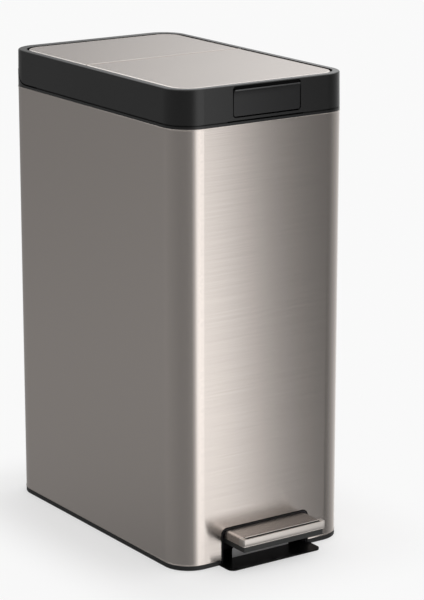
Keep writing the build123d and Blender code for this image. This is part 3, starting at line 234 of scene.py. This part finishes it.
# the pedal well's black plastic made lighter than the rest of the housing: painted light inside the
# recess
wellPlasticPaintedLight = mouldedPlastic("wellPlasticPaintedLight", (0.050, 0.047, 0.053), 0.5, specular=0.3)
panGrey = mouldedPlastic("panGrey", (0.46, 0.45, 0.455), 0.4)
basePlastic = mouldedPlastic("basePlastic", (0.014, 0.014, 0.014), 0.5, specular=0.35)
housingPlastic = mouldedPlastic("housingPlastic", (0.02, 0.021, 0.02), 0.45, specular=0.4)
linerPlastic = mouldedPlastic("linerPlastic", (0.025, 0.025, 0.025), 0.55, 500.0, 0.15)
plateGloss = mouldedPlastic("plateGloss", (0.003, 0.003, 0.003), 0.35, specular=0.12)
footRubber = mouldedPlastic("footRubber", (0.015, 0.015, 0.015), 0.8)
nylon = mouldedPlastic("nylon", (0.7, 0.69, 0.65), 0.5)
damperGrey = mouldedPlastic("damperGrey", (0.2, 0.21, 0.22), 0.3)
bucketPlastic = mouldedPlastic("bucketPlastic", (0.05, 0.05, 0.052), 0.55, 420.0, 0.2)

putMaterial(wrapSteel, "outer_shell")
putMaterial(lidSteel, "lid_skin", "rear_lid_panel")
putMaterial(pedalSteel, "pedal_cover")
putMaterial(
    bareSteel,
    "pedal_axle", "axle_clips", "pedal_lever", "lid_cranks", "lid_hinge_rod",
    "collar_hinge_pins", "latch_pin", "latch_spring", "lift_rod_left", "lift_rod_right",
    "foot_plate_screws", "rear_panel_screws", "crank_screws",
)
putMaterial(collarPlastic, "collar", "top_frame")
putMaterial(latchPlastic, "latch_handle")
putMaterial(basePlastic, "base_tray")
# painted light: the well is lighter than the housing's other black plastic
putMaterial(wellPlasticPaintedLight, "pedal_housing")
putMaterial(housingPlastic, "pedal_core", "axle_stands", "damper_cap", "damper_saddle")
putMaterial(linerPlastic, "lid_liner", "rear_panel_backing")
putMaterial(plateGloss, "foot_plate")
putMaterial(footRubber, "rubber_feet", "lid_bumpers")
putMaterial(
    nylon,
    "lid_bushes", "rod_guides", "crank_rollers", "lever_rollers",
    "rod_cap_left", "rod_cap_right", "rod_shoe_left", "rod_shoe_right",
)
putMaterial(damperGrey, "damper_cylinder", "damper_piston")
putMaterial(bucketPlastic, "inner_bucket")
print("finishes done")

canFront = float(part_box("outer_shell")[0][1])
canBack = float(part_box("outer_shell")[1][1])
canHalf = float(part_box("outer_shell")[1][0])

near = 1e-6                 # lengths that differ by less are the same
frontBand = 0.001           # depth of the band that counts as a piece's front
squareOn = 0.9              # share of a normal from which a face looks along an axis
weldGap = 0.00001
smoothAngle = 35            # degrees


# helpers for modelling
def objectMode():
    if bpy.context.mode != "OBJECT":
        bpy.ops.object.mode_set(mode="OBJECT")


def selectOnly(piece):
    bpy.ops.object.select_all(action="DESELECT")
    piece.select_set(True)
    bpy.context.view_layer.objects.active = piece


def startPiece(name, size, centre):
    objectMode()
    bpy.ops.object.select_all(action="DESELECT")
    bpy.ops.mesh.primitive_cube_add(size=1, location=centre)
    piece = bpy.context.object
    piece.name = name
    piece.scale = size
    bpy.ops.object.transform_apply(location=True, rotation=True, scale=True)
    return piece


def clearPick(kind):
    bpy.ops.object.mode_set(mode="EDIT")
    bpy.ops.mesh.select_mode(type=kind)
    bpy.ops.mesh.select_all(action="DESELECT")
    bpy.ops.object.mode_set(mode="OBJECT")


def pickFaces(piece, test):
    clearPick("FACE")
    for face in piece.data.polygons:
        face.select = bool(test(face.center, face.normal))
    bpy.ops.object.mode_set(mode="EDIT")


def pickEdges(piece, test):
    clearPick("EDGE")
    points = piece.data.vertices
    for edge in piece.data.edges:
        a, b = points[edge.vertices[0]].co, points[edge.vertices[1]].co
        edge.select = bool(test(a, b))
    bpy.ops.object.mode_set(mode="EDIT")


def dropFaces(piece, test):
    pickFaces(piece, test)
    bpy.ops.mesh.delete(type="FACE")
    objectMode()


def roundEdges(piece, test, radius, segments):
    pickEdges(piece, test)
    bpy.ops.mesh.bevel(offset=radius, segments=segments, affect="EDGES")
    objectMode()


def runsUp(a, b):
    return abs(a.x - b.x) < near and abs(a.y - b.y) < near


def runsBack(a, b):
    return abs(a.x - b.x) < near and abs(a.z - b.z) < near


def runsAcross(a, b):
    return abs(a.y - b.y) < near and abs(a.z - b.z) < near


def addModifier(piece, kind, **settings):
    modifier = piece.modifiers.new(kind.lower(), kind)
    for key, value in settings.items():
        setattr(modifier, key, value)
    bpy.context.view_layer.objects.active = piece
    bpy.ops.object.modifier_apply(modifier=modifier.name)


def softenEdges(piece, width, segments=3):
    addModifier(piece, "BEVEL", width=width, segments=segments, limit_method="ANGLE")


def cutAway(piece, size, centre):
    cutter = startPiece("cutter", size, centre)
    addModifier(piece, "BOOLEAN", object=cutter, operation="DIFFERENCE", solver="EXACT")
    bpy.data.objects.remove(cutter, do_unlink=True)


def weldPoints(piece):
    selectOnly(piece)
    bpy.ops.object.mode_set(mode="EDIT")
    bpy.ops.mesh.select_all(action="SELECT")
    bpy.ops.mesh.remove_doubles(threshold=weldGap)
    bpy.ops.object.mode_set(mode="OBJECT")


def finishPiece(piece, body, material):
    objectMode()
    weldPoints(piece)
    bpy.ops.object.mode_set(mode="EDIT")
    bpy.ops.mesh.select_all(action="SELECT")
    bpy.ops.mesh.normals_make_consistent(inside=False)
    bpy.ops.object.mode_set(mode="OBJECT")
    bpy.ops.object.shade_smooth_by_angle(angle=math.radians(smoothAngle))
    piece.data.materials.clear()
    piece.data.materials.append(material)
    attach(piece, body)


wrapHem = {
    "radius": 0.038,        # the wrap's corners
    "cornerSteps": 14,
    "proud": 0.00045,
    "height": 0.0016,
    "depth": 0.0009,
    "lowZ": 0.0072,
    "topZ": 0.5968,
    "gapHalf": 0.0729,      # the pedal recess interrupts the lower hem
    "edge": 0.0004,
}


def hemRing(name, z, hasGap):
    proud = wrapHem["proud"]
    half = wrapHem["gapHalf"]
    ring = startPiece(
        name,
        (2 * canHalf + 2 * proud, canBack - canFront + 2 * proud, wrapHem["height"]),
        (0, (canFront + canBack) / 2, z + wrapHem["height"] / 2),
    )
    roundEdges(ring, runsUp, wrapHem["radius"] + proud, wrapHem["cornerSteps"])
    dropFaces(ring, lambda centre, normal: abs(normal.z) > squareOn)
    if hasGap:
        bpy.ops.object.mode_set(mode="EDIT")
        for side in (-1, 1):
            bpy.ops.mesh.select_all(action="SELECT")
            bpy.ops.mesh.bisect(plane_co=(side * half, 0, 0), plane_no=(1, 0, 0))
        dropFaces(ring, lambda centre, normal: (
            abs(centre.x) < half and centre.y < canFront + frontBand
        ))
    addModifier(ring, "SOLIDIFY", thickness=wrapHem["depth"], offset=-1)
    softenEdges(ring, wrapHem["edge"])
    finishPiece(ring, "can", wrapSteel)


hemRing("wrapHemLow", wrapHem["lowZ"], True)
hemRing("wrapHemTop", wrapHem["topZ"], False)

rearSeam = {
    "width": 0.0095,
    "proud": 0.0006,
    "sink": 0.0003,
    "lowZ": 0.0092,
    "topZ": 0.5964,
    "fold": 0.0018,         # width of the fold along each side of the strip
    "groove": 0.00025,      # how far its middle lies below the folds
    "edge": 0.0002,
}


def seamStrip():
    height = rearSeam["topZ"] - rearSeam["lowZ"]
    strip = startPiece(
        "rearSeam",
        (rearSeam["width"], rearSeam["proud"] + rearSeam["sink"], height),
        (0, canBack + (rearSeam["proud"] - rearSeam["sink"]) / 2, rearSeam["lowZ"] + height / 2),
    )
    pickFaces(strip, lambda centre, normal: normal.y > squareOn)
    bpy.ops.mesh.inset(thickness=rearSeam["fold"], depth=0)
    bpy.ops.mesh.extrude_region_move(
        TRANSFORM_OT_translate={"value": (0, -rearSeam["groove"], 0)})
    objectMode()
    softenEdges(strip, rearSeam["edge"], 2)
    finishPiece(strip, "can", wrapSteel)


seamStrip()
print("wrap details done")

treadBar = {
    "overhang": 0.0006,     # past the tread's steel on the front and the ends
    "depth": 0.0030,
    "returnDepth": 0.0115,  # how far it goes back round each end
    "returnWidth": 0.0066,
    "lowGap": 0.0006,
    "topRise": 0.0002,
    "corner": 0.0038,
    "cornerSteps": 8,
    "edge": 0.0006,
    "cutDepth": 0.03,       # the cutter that clears the middle behind the bar
    "cutHeight": 0.05,
    "cutDrop": 0.01,
}


def pedalBar():
    low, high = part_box("pedal_cover")
    half = high[0] + treadBar["overhang"]
    yFront = low[1] - treadBar["overhang"]
    yRear = yFront + treadBar["returnDepth"]
    zLow, zTop = low[2] + treadBar["lowGap"], high[2] + treadBar["topRise"]
    bar = startPiece(
        "treadBar",
        (2 * half, yRear - yFront, zTop - zLow),
        (0, (yFront + yRear) / 2, (zLow + zTop) / 2),
    )
    roundEdges(
        bar, lambda a, b: runsUp(a, b) and a.y < yFront + frontBand,
        treadBar["corner"], treadBar["cornerSteps"],
    )
    cutAway(
        bar,
        (2 * (half - treadBar["returnWidth"]), treadBar["cutDepth"], treadBar["cutHeight"]),
        (0, yFront + treadBar["depth"] + treadBar["cutDepth"] / 2, zTop - treadBar["cutDrop"]),
    )
    softenEdges(bar, treadBar["edge"])
    finishPiece(bar, "pedal", barSteel)


pedalBar()

# painted shade: a black strip on the tread between the bar and the lip, standing for the shade in
# the groove there
treadGrooveShade = {
    "depth": 0.0042,        # from the back of the bar to the front of the lip
    "overlap": 0.0006,
    "rise": 0.0001,
    "sink": 0.0008,
    "rim": 0.0004,
    "dish": 0.00008,
}

treadLip = {
    "depth": 0.0014,
    "rise": 0.0006,
    "sink": 0.001,
    "endInset": 0.0070,
    "edge": 0.0004,
}


def grooveShadeAndLip():
    low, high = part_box("pedal_cover")
    width = 2 * (high[0] - treadLip["endInset"])
    yBar = low[1] - treadBar["overhang"] + treadBar["depth"]
    yLip = yBar + treadGrooveShade["depth"]
    top = high[2]
    rise, sink = treadGrooveShade["rise"], treadGrooveShade["sink"]
    grooveShade = startPiece(
        "treadGrooveShade",
        (width, treadGrooveShade["depth"] + treadGrooveShade["overlap"], sink + rise),
        (0, (yBar + yLip) / 2, top + (rise - sink) / 2),
    )
    pickFaces(grooveShade, lambda centre, normal: normal.z > squareOn)
    bpy.ops.mesh.inset(thickness=treadGrooveShade["rim"], depth=-treadGrooveShade["dish"])
    finishPiece(grooveShade, "pedal", trimAndShadeBlack)
    rise, sink = treadLip["rise"], treadLip["sink"]
    lip = startPiece(
        "treadLip",
        (width, treadLip["depth"], sink + rise),
        (0, yLip + treadLip["depth"] / 2, top + (rise - sink) / 2),
    )
    softenEdges(lip, treadLip["edge"])
    finishPiece(lip, "pedal", barSteel)


grooveShadeAndLip()

leverPan = {
    "half": 0.0468,
    "sheet": 0.0012,
    "yFront": -0.2335,
    "yRear": -0.1920,
    "flange": 0.0018,
    "webDrop": 0.0130,      # the sheet is bent down behind the tread's core
    "webCorner": 0.0016,
    "cornerSteps": 4,
    "cornersBelow": 0.01,   # the web's low corners lie further than this under the core
    "edge": 0.0003,
}


def pressedPan():
    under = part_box("pedal_core")[0][2]
    yFront, yRear, flange = leverPan["yFront"], leverPan["yRear"], leverPan["flange"]
    pan = startPiece(
        "leverPan",
        (2 * leverPan["half"], yRear - yFront, flange),
        (0, (yFront + yRear) / 2, under - flange / 2),
    )
    dropFaces(pan, lambda centre, normal: normal.z < -squareOn)
    pickEdges(pan, lambda a, b: (
        min(a.y, b.y) > yRear - near and max(a.z, b.z) < under - flange + near
    ))
    bpy.ops.mesh.extrude_region_move(
        TRANSFORM_OT_translate={"value": (0, 0, flange - leverPan["webDrop"])})
    objectMode()
    addModifier(pan, "SOLIDIFY", thickness=leverPan["sheet"], offset=-1)
    roundEdges(
        pan, lambda a, b: runsBack(a, b) and a.z < under - leverPan["cornersBelow"],
        leverPan["webCorner"], leverPan["cornerSteps"],
    )
    softenEdges(pan, leverPan["edge"], 2)
    finishPiece(pan, "pedal", panGrey)


pressedPan()
print("pedal details done")

recessTrim = {
    "half": 0.0716,
    "top": 0.0521,
    "width": 0.0015,
    "corner": 0.0090,
    "cornerSteps": 10,
    "cornersAbove": 0.03,
    "proud": 0.0009,
    "sink": 0.0012,
    "lowZ": 0.0004,
    "edge": 0.0005,
}


def recessBead():
    proud, sink, lowZ = recessTrim["proud"], recessTrim["sink"], recessTrim["lowZ"]
    height = recessTrim["top"] - lowZ
    bead = startPiece(
        "recessTrim",
        (2 * recessTrim["half"], proud + sink, height),
        (0, canFront + (sink - proud) / 2, lowZ + height / 2),
    )
    roundEdges(
        bead, lambda a, b: runsBack(a, b) and a.z > recessTrim["cornersAbove"],
        recessTrim["corner"], recessTrim["cornerSteps"],
    )
    dropFaces(bead, lambda centre, normal: abs(normal.y) > squareOn or normal.z < -squareOn)
    addModifier(bead, "SOLIDIFY", thickness=recessTrim["width"], offset=-1)
    softenEdges(bead, recessTrim["edge"])
    finishPiece(bead, "can", trimAndShadeBlack)


recessBead()

wellGuard = {
    "half": 0.0468,         # it stands between the lever's two front arms
    "y": -0.1830,
    "sheet": 0.0012,
    "lowZ": 0.0027,         # just inside the foot plate that it stands on
    "topZ": 0.0165,
    "corner": 0.0020,
    "cornerSteps": 4,
    "edge": 0.0003,
}


def guardPlate():
    lowZ = wellGuard["lowZ"]
    height = wellGuard["topZ"] - lowZ
    guard = startPiece(
        "wellGuard",
        (2 * wellGuard["half"], wellGuard["sheet"], height),
        (0, wellGuard["y"], lowZ + height / 2),
    )
    roundEdges(
        guard, lambda a, b: runsBack(a, b) and a.z > lowZ + near,
        wellGuard["corner"], wellGuard["cornerSteps"],
    )
    softenEdges(guard, wellGuard["edge"], 2)
    finishPiece(guard, "can", panGrey)


guardPlate()
print("recess trim and guard done")

latchLip = {
    "endInset": 0.0006,
    "reach": 0.0013,        # thickness of the rolled lip, front to back
    "proud": 0.0003,
    "height": 0.0017,
    "rise": 0.0002,
    "corner": 0.0009,
    "cornerSteps": 5,
    "edge": 0.0005,
}


def rolledLip():
    low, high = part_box("latch_handle")
    half = min(-low[0], high[0]) - latchLip["endInset"]
    yFront = low[1] - latchLip["proud"]
    lip = startPiece(
        "latchLip",
        (2 * half, latchLip["reach"], latchLip["height"]),
        (0, yFront + latchLip["reach"] / 2, high[2] - latchLip["height"] / 2 + latchLip["rise"]),
    )
    roundEdges(
        lip, lambda a, b: runsUp(a, b) and a.y < yFront + near,
        latchLip["corner"], latchLip["cornerSteps"],
    )
    softenEdges(lip, latchLip["edge"], 4)
    # the lip's lighter plastic is a painted highlight
    finishPiece(lip, "latch", lipPaintedHighlight)


rolledLip()

# painted shade: a black sheet behind the latch's finger slot, so the slot reads black where it is
# only in shade
slotShade = {
    "half": 0.0530,
    "height": 0.0040,
    "wall": 0.0006,
    "behindFront": 0.0036,
    "overLatch": 0.0003,
    "rim": 0.0005,
    "dish": 0.0002,
}


def paintedSlotShade():
    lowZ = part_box("latch_handle")[1][2] + slotShade["overLatch"]
    shade = startPiece(
        "slotShade",
        (2 * slotShade["half"], slotShade["wall"], slotShade["height"]),
        (0, canFront + slotShade["behindFront"], lowZ + slotShade["height"] / 2),
    )
    pickFaces(shade, lambda centre, normal: normal.y < -squareOn)
    bpy.ops.mesh.inset(thickness=slotShade["rim"], depth=-slotShade["dish"])
    finishPiece(shade, "collar", trimAndShadeBlack)


paintedSlotShade()
print("latch details done")

lidBead = {
    "wall": 0.00014,
    "depth": 0.0024,        # how far below the panel's top the bead reaches
    "steepest": 0.30,       # upward share of the normal where the bead starts
    "flattest": 0.985,      # and where it ends
    "seamGap": 0.006,
}


def edgeBead(name, nodeName, body, keep):
    source = nodes[nodeName]
    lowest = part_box(nodeName)[1][2] - lidBead["depth"]
    bead = source.copy()
    bead.data = source.data.copy()
    bead.name = name
    scene.collection.objects.link(bead)
    weldPoints(bead)
    dropFaces(bead, lambda centre, normal: not (
        lidBead["steepest"] < normal.z < lidBead["flattest"]
        and centre.z > lowest
        and keep(centre)
    ))
    addModifier(bead, "SOLIDIFY", thickness=lidBead["wall"], offset=1)
    finishPiece(bead, body, polishedEdge)


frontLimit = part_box("lid_skin")[1][1] - lidBead["seamGap"]
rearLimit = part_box("rear_lid_panel")[0][1] + lidBead["seamGap"]
edgeBead("lidEdgeFront", "lid_skin", "lid", lambda centre: centre.y < frontLimit)
edgeBead("lidEdgeRear", "rear_lid_panel", "collar", lambda centre: centre.y > rearLimit)

seamBead = {
    "half": 0.1215,
    "width": 0.0013,
    "rise": 0.00022,
    "sink": 0.0004,
    "backFromEdge": 0.0002,
    "steps": 4,
}


def seamStripBead():
    low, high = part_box("rear_lid_panel")
    rise, sink = seamBead["rise"], seamBead["sink"]
    bead = startPiece(
        "lidSeamBead",
        (2 * seamBead["half"], seamBead["width"], rise + sink),
        (0, low[1] + seamBead["backFromEdge"] + seamBead["width"] / 2, high[2] + (rise - sink) / 2),
    )
    roundEdges(bead, lambda a, b: runsAcross(a, b) and a.z > high[2], rise, seamBead["steps"])
    finishPiece(bead, "collar", polishedEdge)


seamStripBead()
print("lid details done")

whiteLevel = 0.95           # what the camera and the metal see past the can

floorPaper = {
    "colour": (0.92, 0.92, 0.92),
    "size": 40.0,
    "roughness": 0.9,
    "specular": 0.1,
    "nearGlow": 0.52,       # share of the floor that the camera sees as painted white light
    "farGlow": 0.96,
    "glowFrom": 0.03,       # distance from the base where the painted white light starts to grow
    "glowTo": 0.17,
}


def seenRays(tree, x, y):
    rays = addNode(tree, "ShaderNodeLightPath", x, y)
    direct = addMath(tree, x + 200, y, "MAXIMUM")
    seen = addMath(tree, x + 400, y, "MAXIMUM")
    link = tree.links.new
    link(rays.outputs["Is Camera Ray"], direct.inputs[0])
    link(rays.outputs["Is Glossy Ray"], direct.inputs[1])
    link(direct.outputs[0], seen.inputs[0])
    link(rays.outputs["Is Transmission Ray"], seen.inputs[1])
    return seen.outputs[0]


def buildFloor():
    bpy.ops.mesh.primitive_plane_add(size=floorPaper["size"], location=(0, 0, 0))
    floor = bpy.context.object
    floor.name = "floorPlane"
    material, tree, shader = newMaterial("floorPaper")
    shader.inputs["Base Color"].default_value = (*floorPaper["colour"], 1)
    shader.inputs["Roughness"].default_value = floorPaper["roughness"]
    shader.inputs["Specular IOR Level"].default_value = floorPaper["specular"]
    paper = addNode(tree, "ShaderNodeEmission", 0, -300)
    paper.inputs["Strength"].default_value = whiteLevel
    share = addMath(tree, 0, -100, "MULTIPLY")
    # distance from the box that the can stands in
    place = addNode(tree, "ShaderNodeTexCoord", -1500, -500)
    folded = addNode(tree, "ShaderNodeVectorMath", -1300, -500, operation="ABSOLUTE")
    outside = addNode(tree, "ShaderNodeVectorMath", -1100, -500, operation="SUBTRACT")
    outside.inputs[1].default_value = (canHalf, (canBack - canFront) / 2, 0)
    clear = addNode(tree, "ShaderNodeVectorMath", -900, -500, operation="MAXIMUM")
    away = addNode(tree, "ShaderNodeVectorMath", -700, -500, operation="LENGTH")
    # painted light: the floor's white glow grows away from the can, so its real shadow shows only
    # close to the base
    paintedLightRamp = addRange(
        tree, -500, -500,
        (floorPaper["glowFrom"], floorPaper["glowTo"]),
        (floorPaper["nearGlow"], floorPaper["farGlow"]),
        interpolation_type="SMOOTHSTEP",
    )
    blend = addNode(tree, "ShaderNodeMixShader", 200, 0)
    link = tree.links.new
    link(place.outputs["Object"], folded.inputs[0])
    link(folded.outputs["Vector"], outside.inputs[0])
    link(outside.outputs["Vector"], clear.inputs[0])
    link(clear.outputs["Vector"], away.inputs[0])
    link(away.outputs["Value"], paintedLightRamp.inputs["Value"])
    link(seenRays(tree, -500, -100), share.inputs[0])
    link(paintedLightRamp.outputs["Result"], share.inputs[1])
    link(share.outputs[0], blend.inputs["Fac"])
    link(shader.outputs["BSDF"], blend.inputs[1])
    link(paper.outputs["Emission"], blend.inputs[2])
    link(blend.outputs["Shader"], tree.nodes["Material Output"].inputs["Surface"])
    floor.data.materials.append(material)
    floor.visible_glossy = False


tentCloth = {
    "sides": 180,
    "radius": 1.5,
    "lowZ": -1.2,
    "topZ": 2.6,
    "peak": 2.0,            # brightness that the ramp's white stands for
    "topShade": 0.86,       # the tent is a little darker above the can's middle
    "shadeFrom": -0.15,
    "shadeTo": 0.35,
    "slant": 1.7,           # the panels lean by this many degrees per metre of height
    "slantFrom": -0.3,      # height at which they hang at their written headings
    "duskBelow": -0.5,      # below this height it is much darker
    "duskBlend": 0.25,
    "duskShare": 0.25,
    "skyFrom": 1.35,        # above this height a white panel goes all the way round
    "skyBlend": 0.2,
    "skyLevel": 1.7,
}

# Light panels hung round the can: heading in degrees, 0 straight in front of the
# pedal and growing towards the left side, and how bright the cloth is there.
tentPanels = {
    -72: 0.46, -48: 0.23, -36: 0.17, -32: 0.50, -28: 1.55, -20: 1.60, -8: 1.70, 0: 1.52,
    9: 0.74, 19: 0.34, 35: 0.27, 60: 0.26, 125: 0.34, 150: 0.31, 185: 0.42, 203: 0.50,
    220: 1.01, 236: 1.13, 258: 0.80,
}


def buildTent():
    lowZ, topZ, peak = tentCloth["lowZ"], tentCloth["topZ"], tentCloth["peak"]
    bpy.ops.mesh.primitive_cylinder_add(
        vertices=tentCloth["sides"], radius=tentCloth["radius"], depth=topZ - lowZ,
        end_fill_type="NOTHING", location=(0, 0, (topZ + lowZ) / 2),
    )
    tent = bpy.context.object
    tent.name = "reflectionTent"
    bpy.ops.object.transform_apply(location=True)
    material = bpy.data.materials.new("tentCloth")
    material.use_nodes = True
    tree = material.node_tree
    tree.nodes.clear()
    link = tree.links.new
    place = addNode(tree, "ShaderNodeTexCoord", -1400, 0)
    split = addNode(tree, "ShaderNodeSeparateXYZ", -1200, 0)
    link(place.outputs["Object"], split.inputs["Vector"])
    height = split.outputs["Z"]

    # heading round the can, which leans with height, to the brightness of its panel
    heading = addMath(tree, -800, 0, "ARCTAN2")
    for number, axis in enumerate("XY"):
        flip = addMath(tree, -1000, 100 - 200 * number, "MULTIPLY")
        flip.inputs[1].default_value = -1
        link(split.outputs[axis], flip.inputs[0])
        link(flip.outputs[0], heading.inputs[number])
    slant = -math.radians(tentCloth["slant"])
    start = slant * tentCloth["slantFrom"]
    lean = addMath(tree, -700, 0, "MULTIPLY_ADD")
    lean.inputs[1].default_value = slant
    turnShare = addRange(tree, -600, 0, (-math.pi + start, math.pi + start), (0, 1))
    tone = addNode(tree, "ShaderNodeValToRGB", -400, 0)
    stops = sorted((((angle + 180) % 360) / 360, level) for angle, level in tentPanels.items())
    setRamp(tone, [(position, [level / peak] * 3) for position, level in stops])
    link(height, lean.inputs[0])
    link(heading.outputs[0], lean.inputs[2])
    link(lean.outputs[0], turnShare.inputs["Value"])
    link(turnShare.outputs["Result"], tone.inputs["Fac"])

    # what height does to it: shade above the middle, dusk below the floor, sky on top
    shade = addRange(
        tree, -600, -300,
        (tentCloth["shadeFrom"], tentCloth["shadeTo"]),
        (peak, peak * tentCloth["topShade"]),
    )
    dusk = addRange(
        tree, -600, -900,
        (tentCloth["duskBelow"] - tentCloth["duskBlend"], tentCloth["duskBelow"]),
        (tentCloth["duskShare"], 1),
    )
    sky = addRange(
        tree, -600, -600,
        (tentCloth["skyFrom"], tentCloth["skyFrom"] + tentCloth["skyBlend"]),
        (0, tentCloth["skyLevel"]),
    )
    lowPanel = addMath(tree, -350, -300, "MULTIPLY")
    panel = addMath(tree, -250, 0, "MULTIPLY")
    level = addMath(tree, -100, -200, "MAXIMUM")
    glow = addNode(tree, "ShaderNodeEmission", 0, 0)
    out = addNode(tree, "ShaderNodeOutputMaterial", 100, 0)
    for step in (shade, dusk, sky):
        link(height, step.inputs["Value"])
    link(shade.outputs["Result"], lowPanel.inputs[0])
    link(dusk.outputs["Result"], lowPanel.inputs[1])
    link(tone.outputs["Color"], panel.inputs[0])
    link(lowPanel.outputs[0], panel.inputs[1])
    link(panel.outputs[0], level.inputs[0])
    link(sky.outputs["Result"], level.inputs[1])
    link(level.outputs[0], glow.inputs["Strength"])
    link(glow.outputs["Emission"], out.inputs["Surface"])
    tent.data.materials.append(material)
    for kind in ("camera", "diffuse", "transmission", "volume_scatter", "shadow"):
        setattr(tent, "visible_" + kind, False)


daylight = {
    "worldLevel": 0.72,     # what lights the plastic
    "sunLevel": 1.0,
    "sunAngle": 60.0,       # degrees across, so its shadows are soft
    "sunFrom": (0.5, 0.0, 1.0),
}


def sunLamp():
    data = bpy.data.lights.new("softSun", "SUN")
    data.energy = daylight["sunLevel"]
    data.angle = math.radians(daylight["sunAngle"])
    lamp = bpy.data.objects.new("softSun", data)
    scene.collection.objects.link(lamp)
    lamp.rotation_euler = (-Vector(daylight["sunFrom"])).to_track_quat("-Z", "Y").to_euler()
    lamp.visible_glossy = False


def buildWorld():
    world = bpy.data.worlds.new("studioWorld")
    scene.world = world
    world.use_nodes = True
    tree = world.node_tree
    background = tree.nodes["Background"]
    background.inputs["Color"].default_value = (1, 1, 1, 1)
    level = addRange(tree, -300, 0, (0, 1), (daylight["worldLevel"], whiteLevel))
    tree.links.new(seenRays(tree, -900, 0), level.inputs["Value"])
    tree.links.new(level.outputs["Result"], background.inputs["Strength"])


buildFloor()
buildTent()
sunLamp()
buildWorld()

view = {
    "place": (-1.837, -2.7475, 1.198),
    "heading": 34.42,       # degrees from +Y towards +X
    "pitch": 14.95,         # degrees down
    "lens": 147.87,
    "sensor": 36.0,
}
cameraData = bpy.data.cameras.new("photoCamera")
cameraData.lens = view["lens"]
cameraData.sensor_width = view["sensor"]
cameraData.sensor_fit = "AUTO"
camera = bpy.data.objects.new("photoCamera", cameraData)
scene.collection.objects.link(camera)
camera.location = view["place"]
turn, dip = math.radians(view["heading"]), math.radians(view["pitch"])
level = math.cos(dip)
forward = Vector((math.sin(turn) * level, math.cos(turn) * level, -math.sin(dip)))
camera.rotation_euler = forward.to_track_quat("-Z", "Y").to_euler()
scene.camera = camera
scene.view_settings.view_transform = "Standard"
print("studio and camera done")
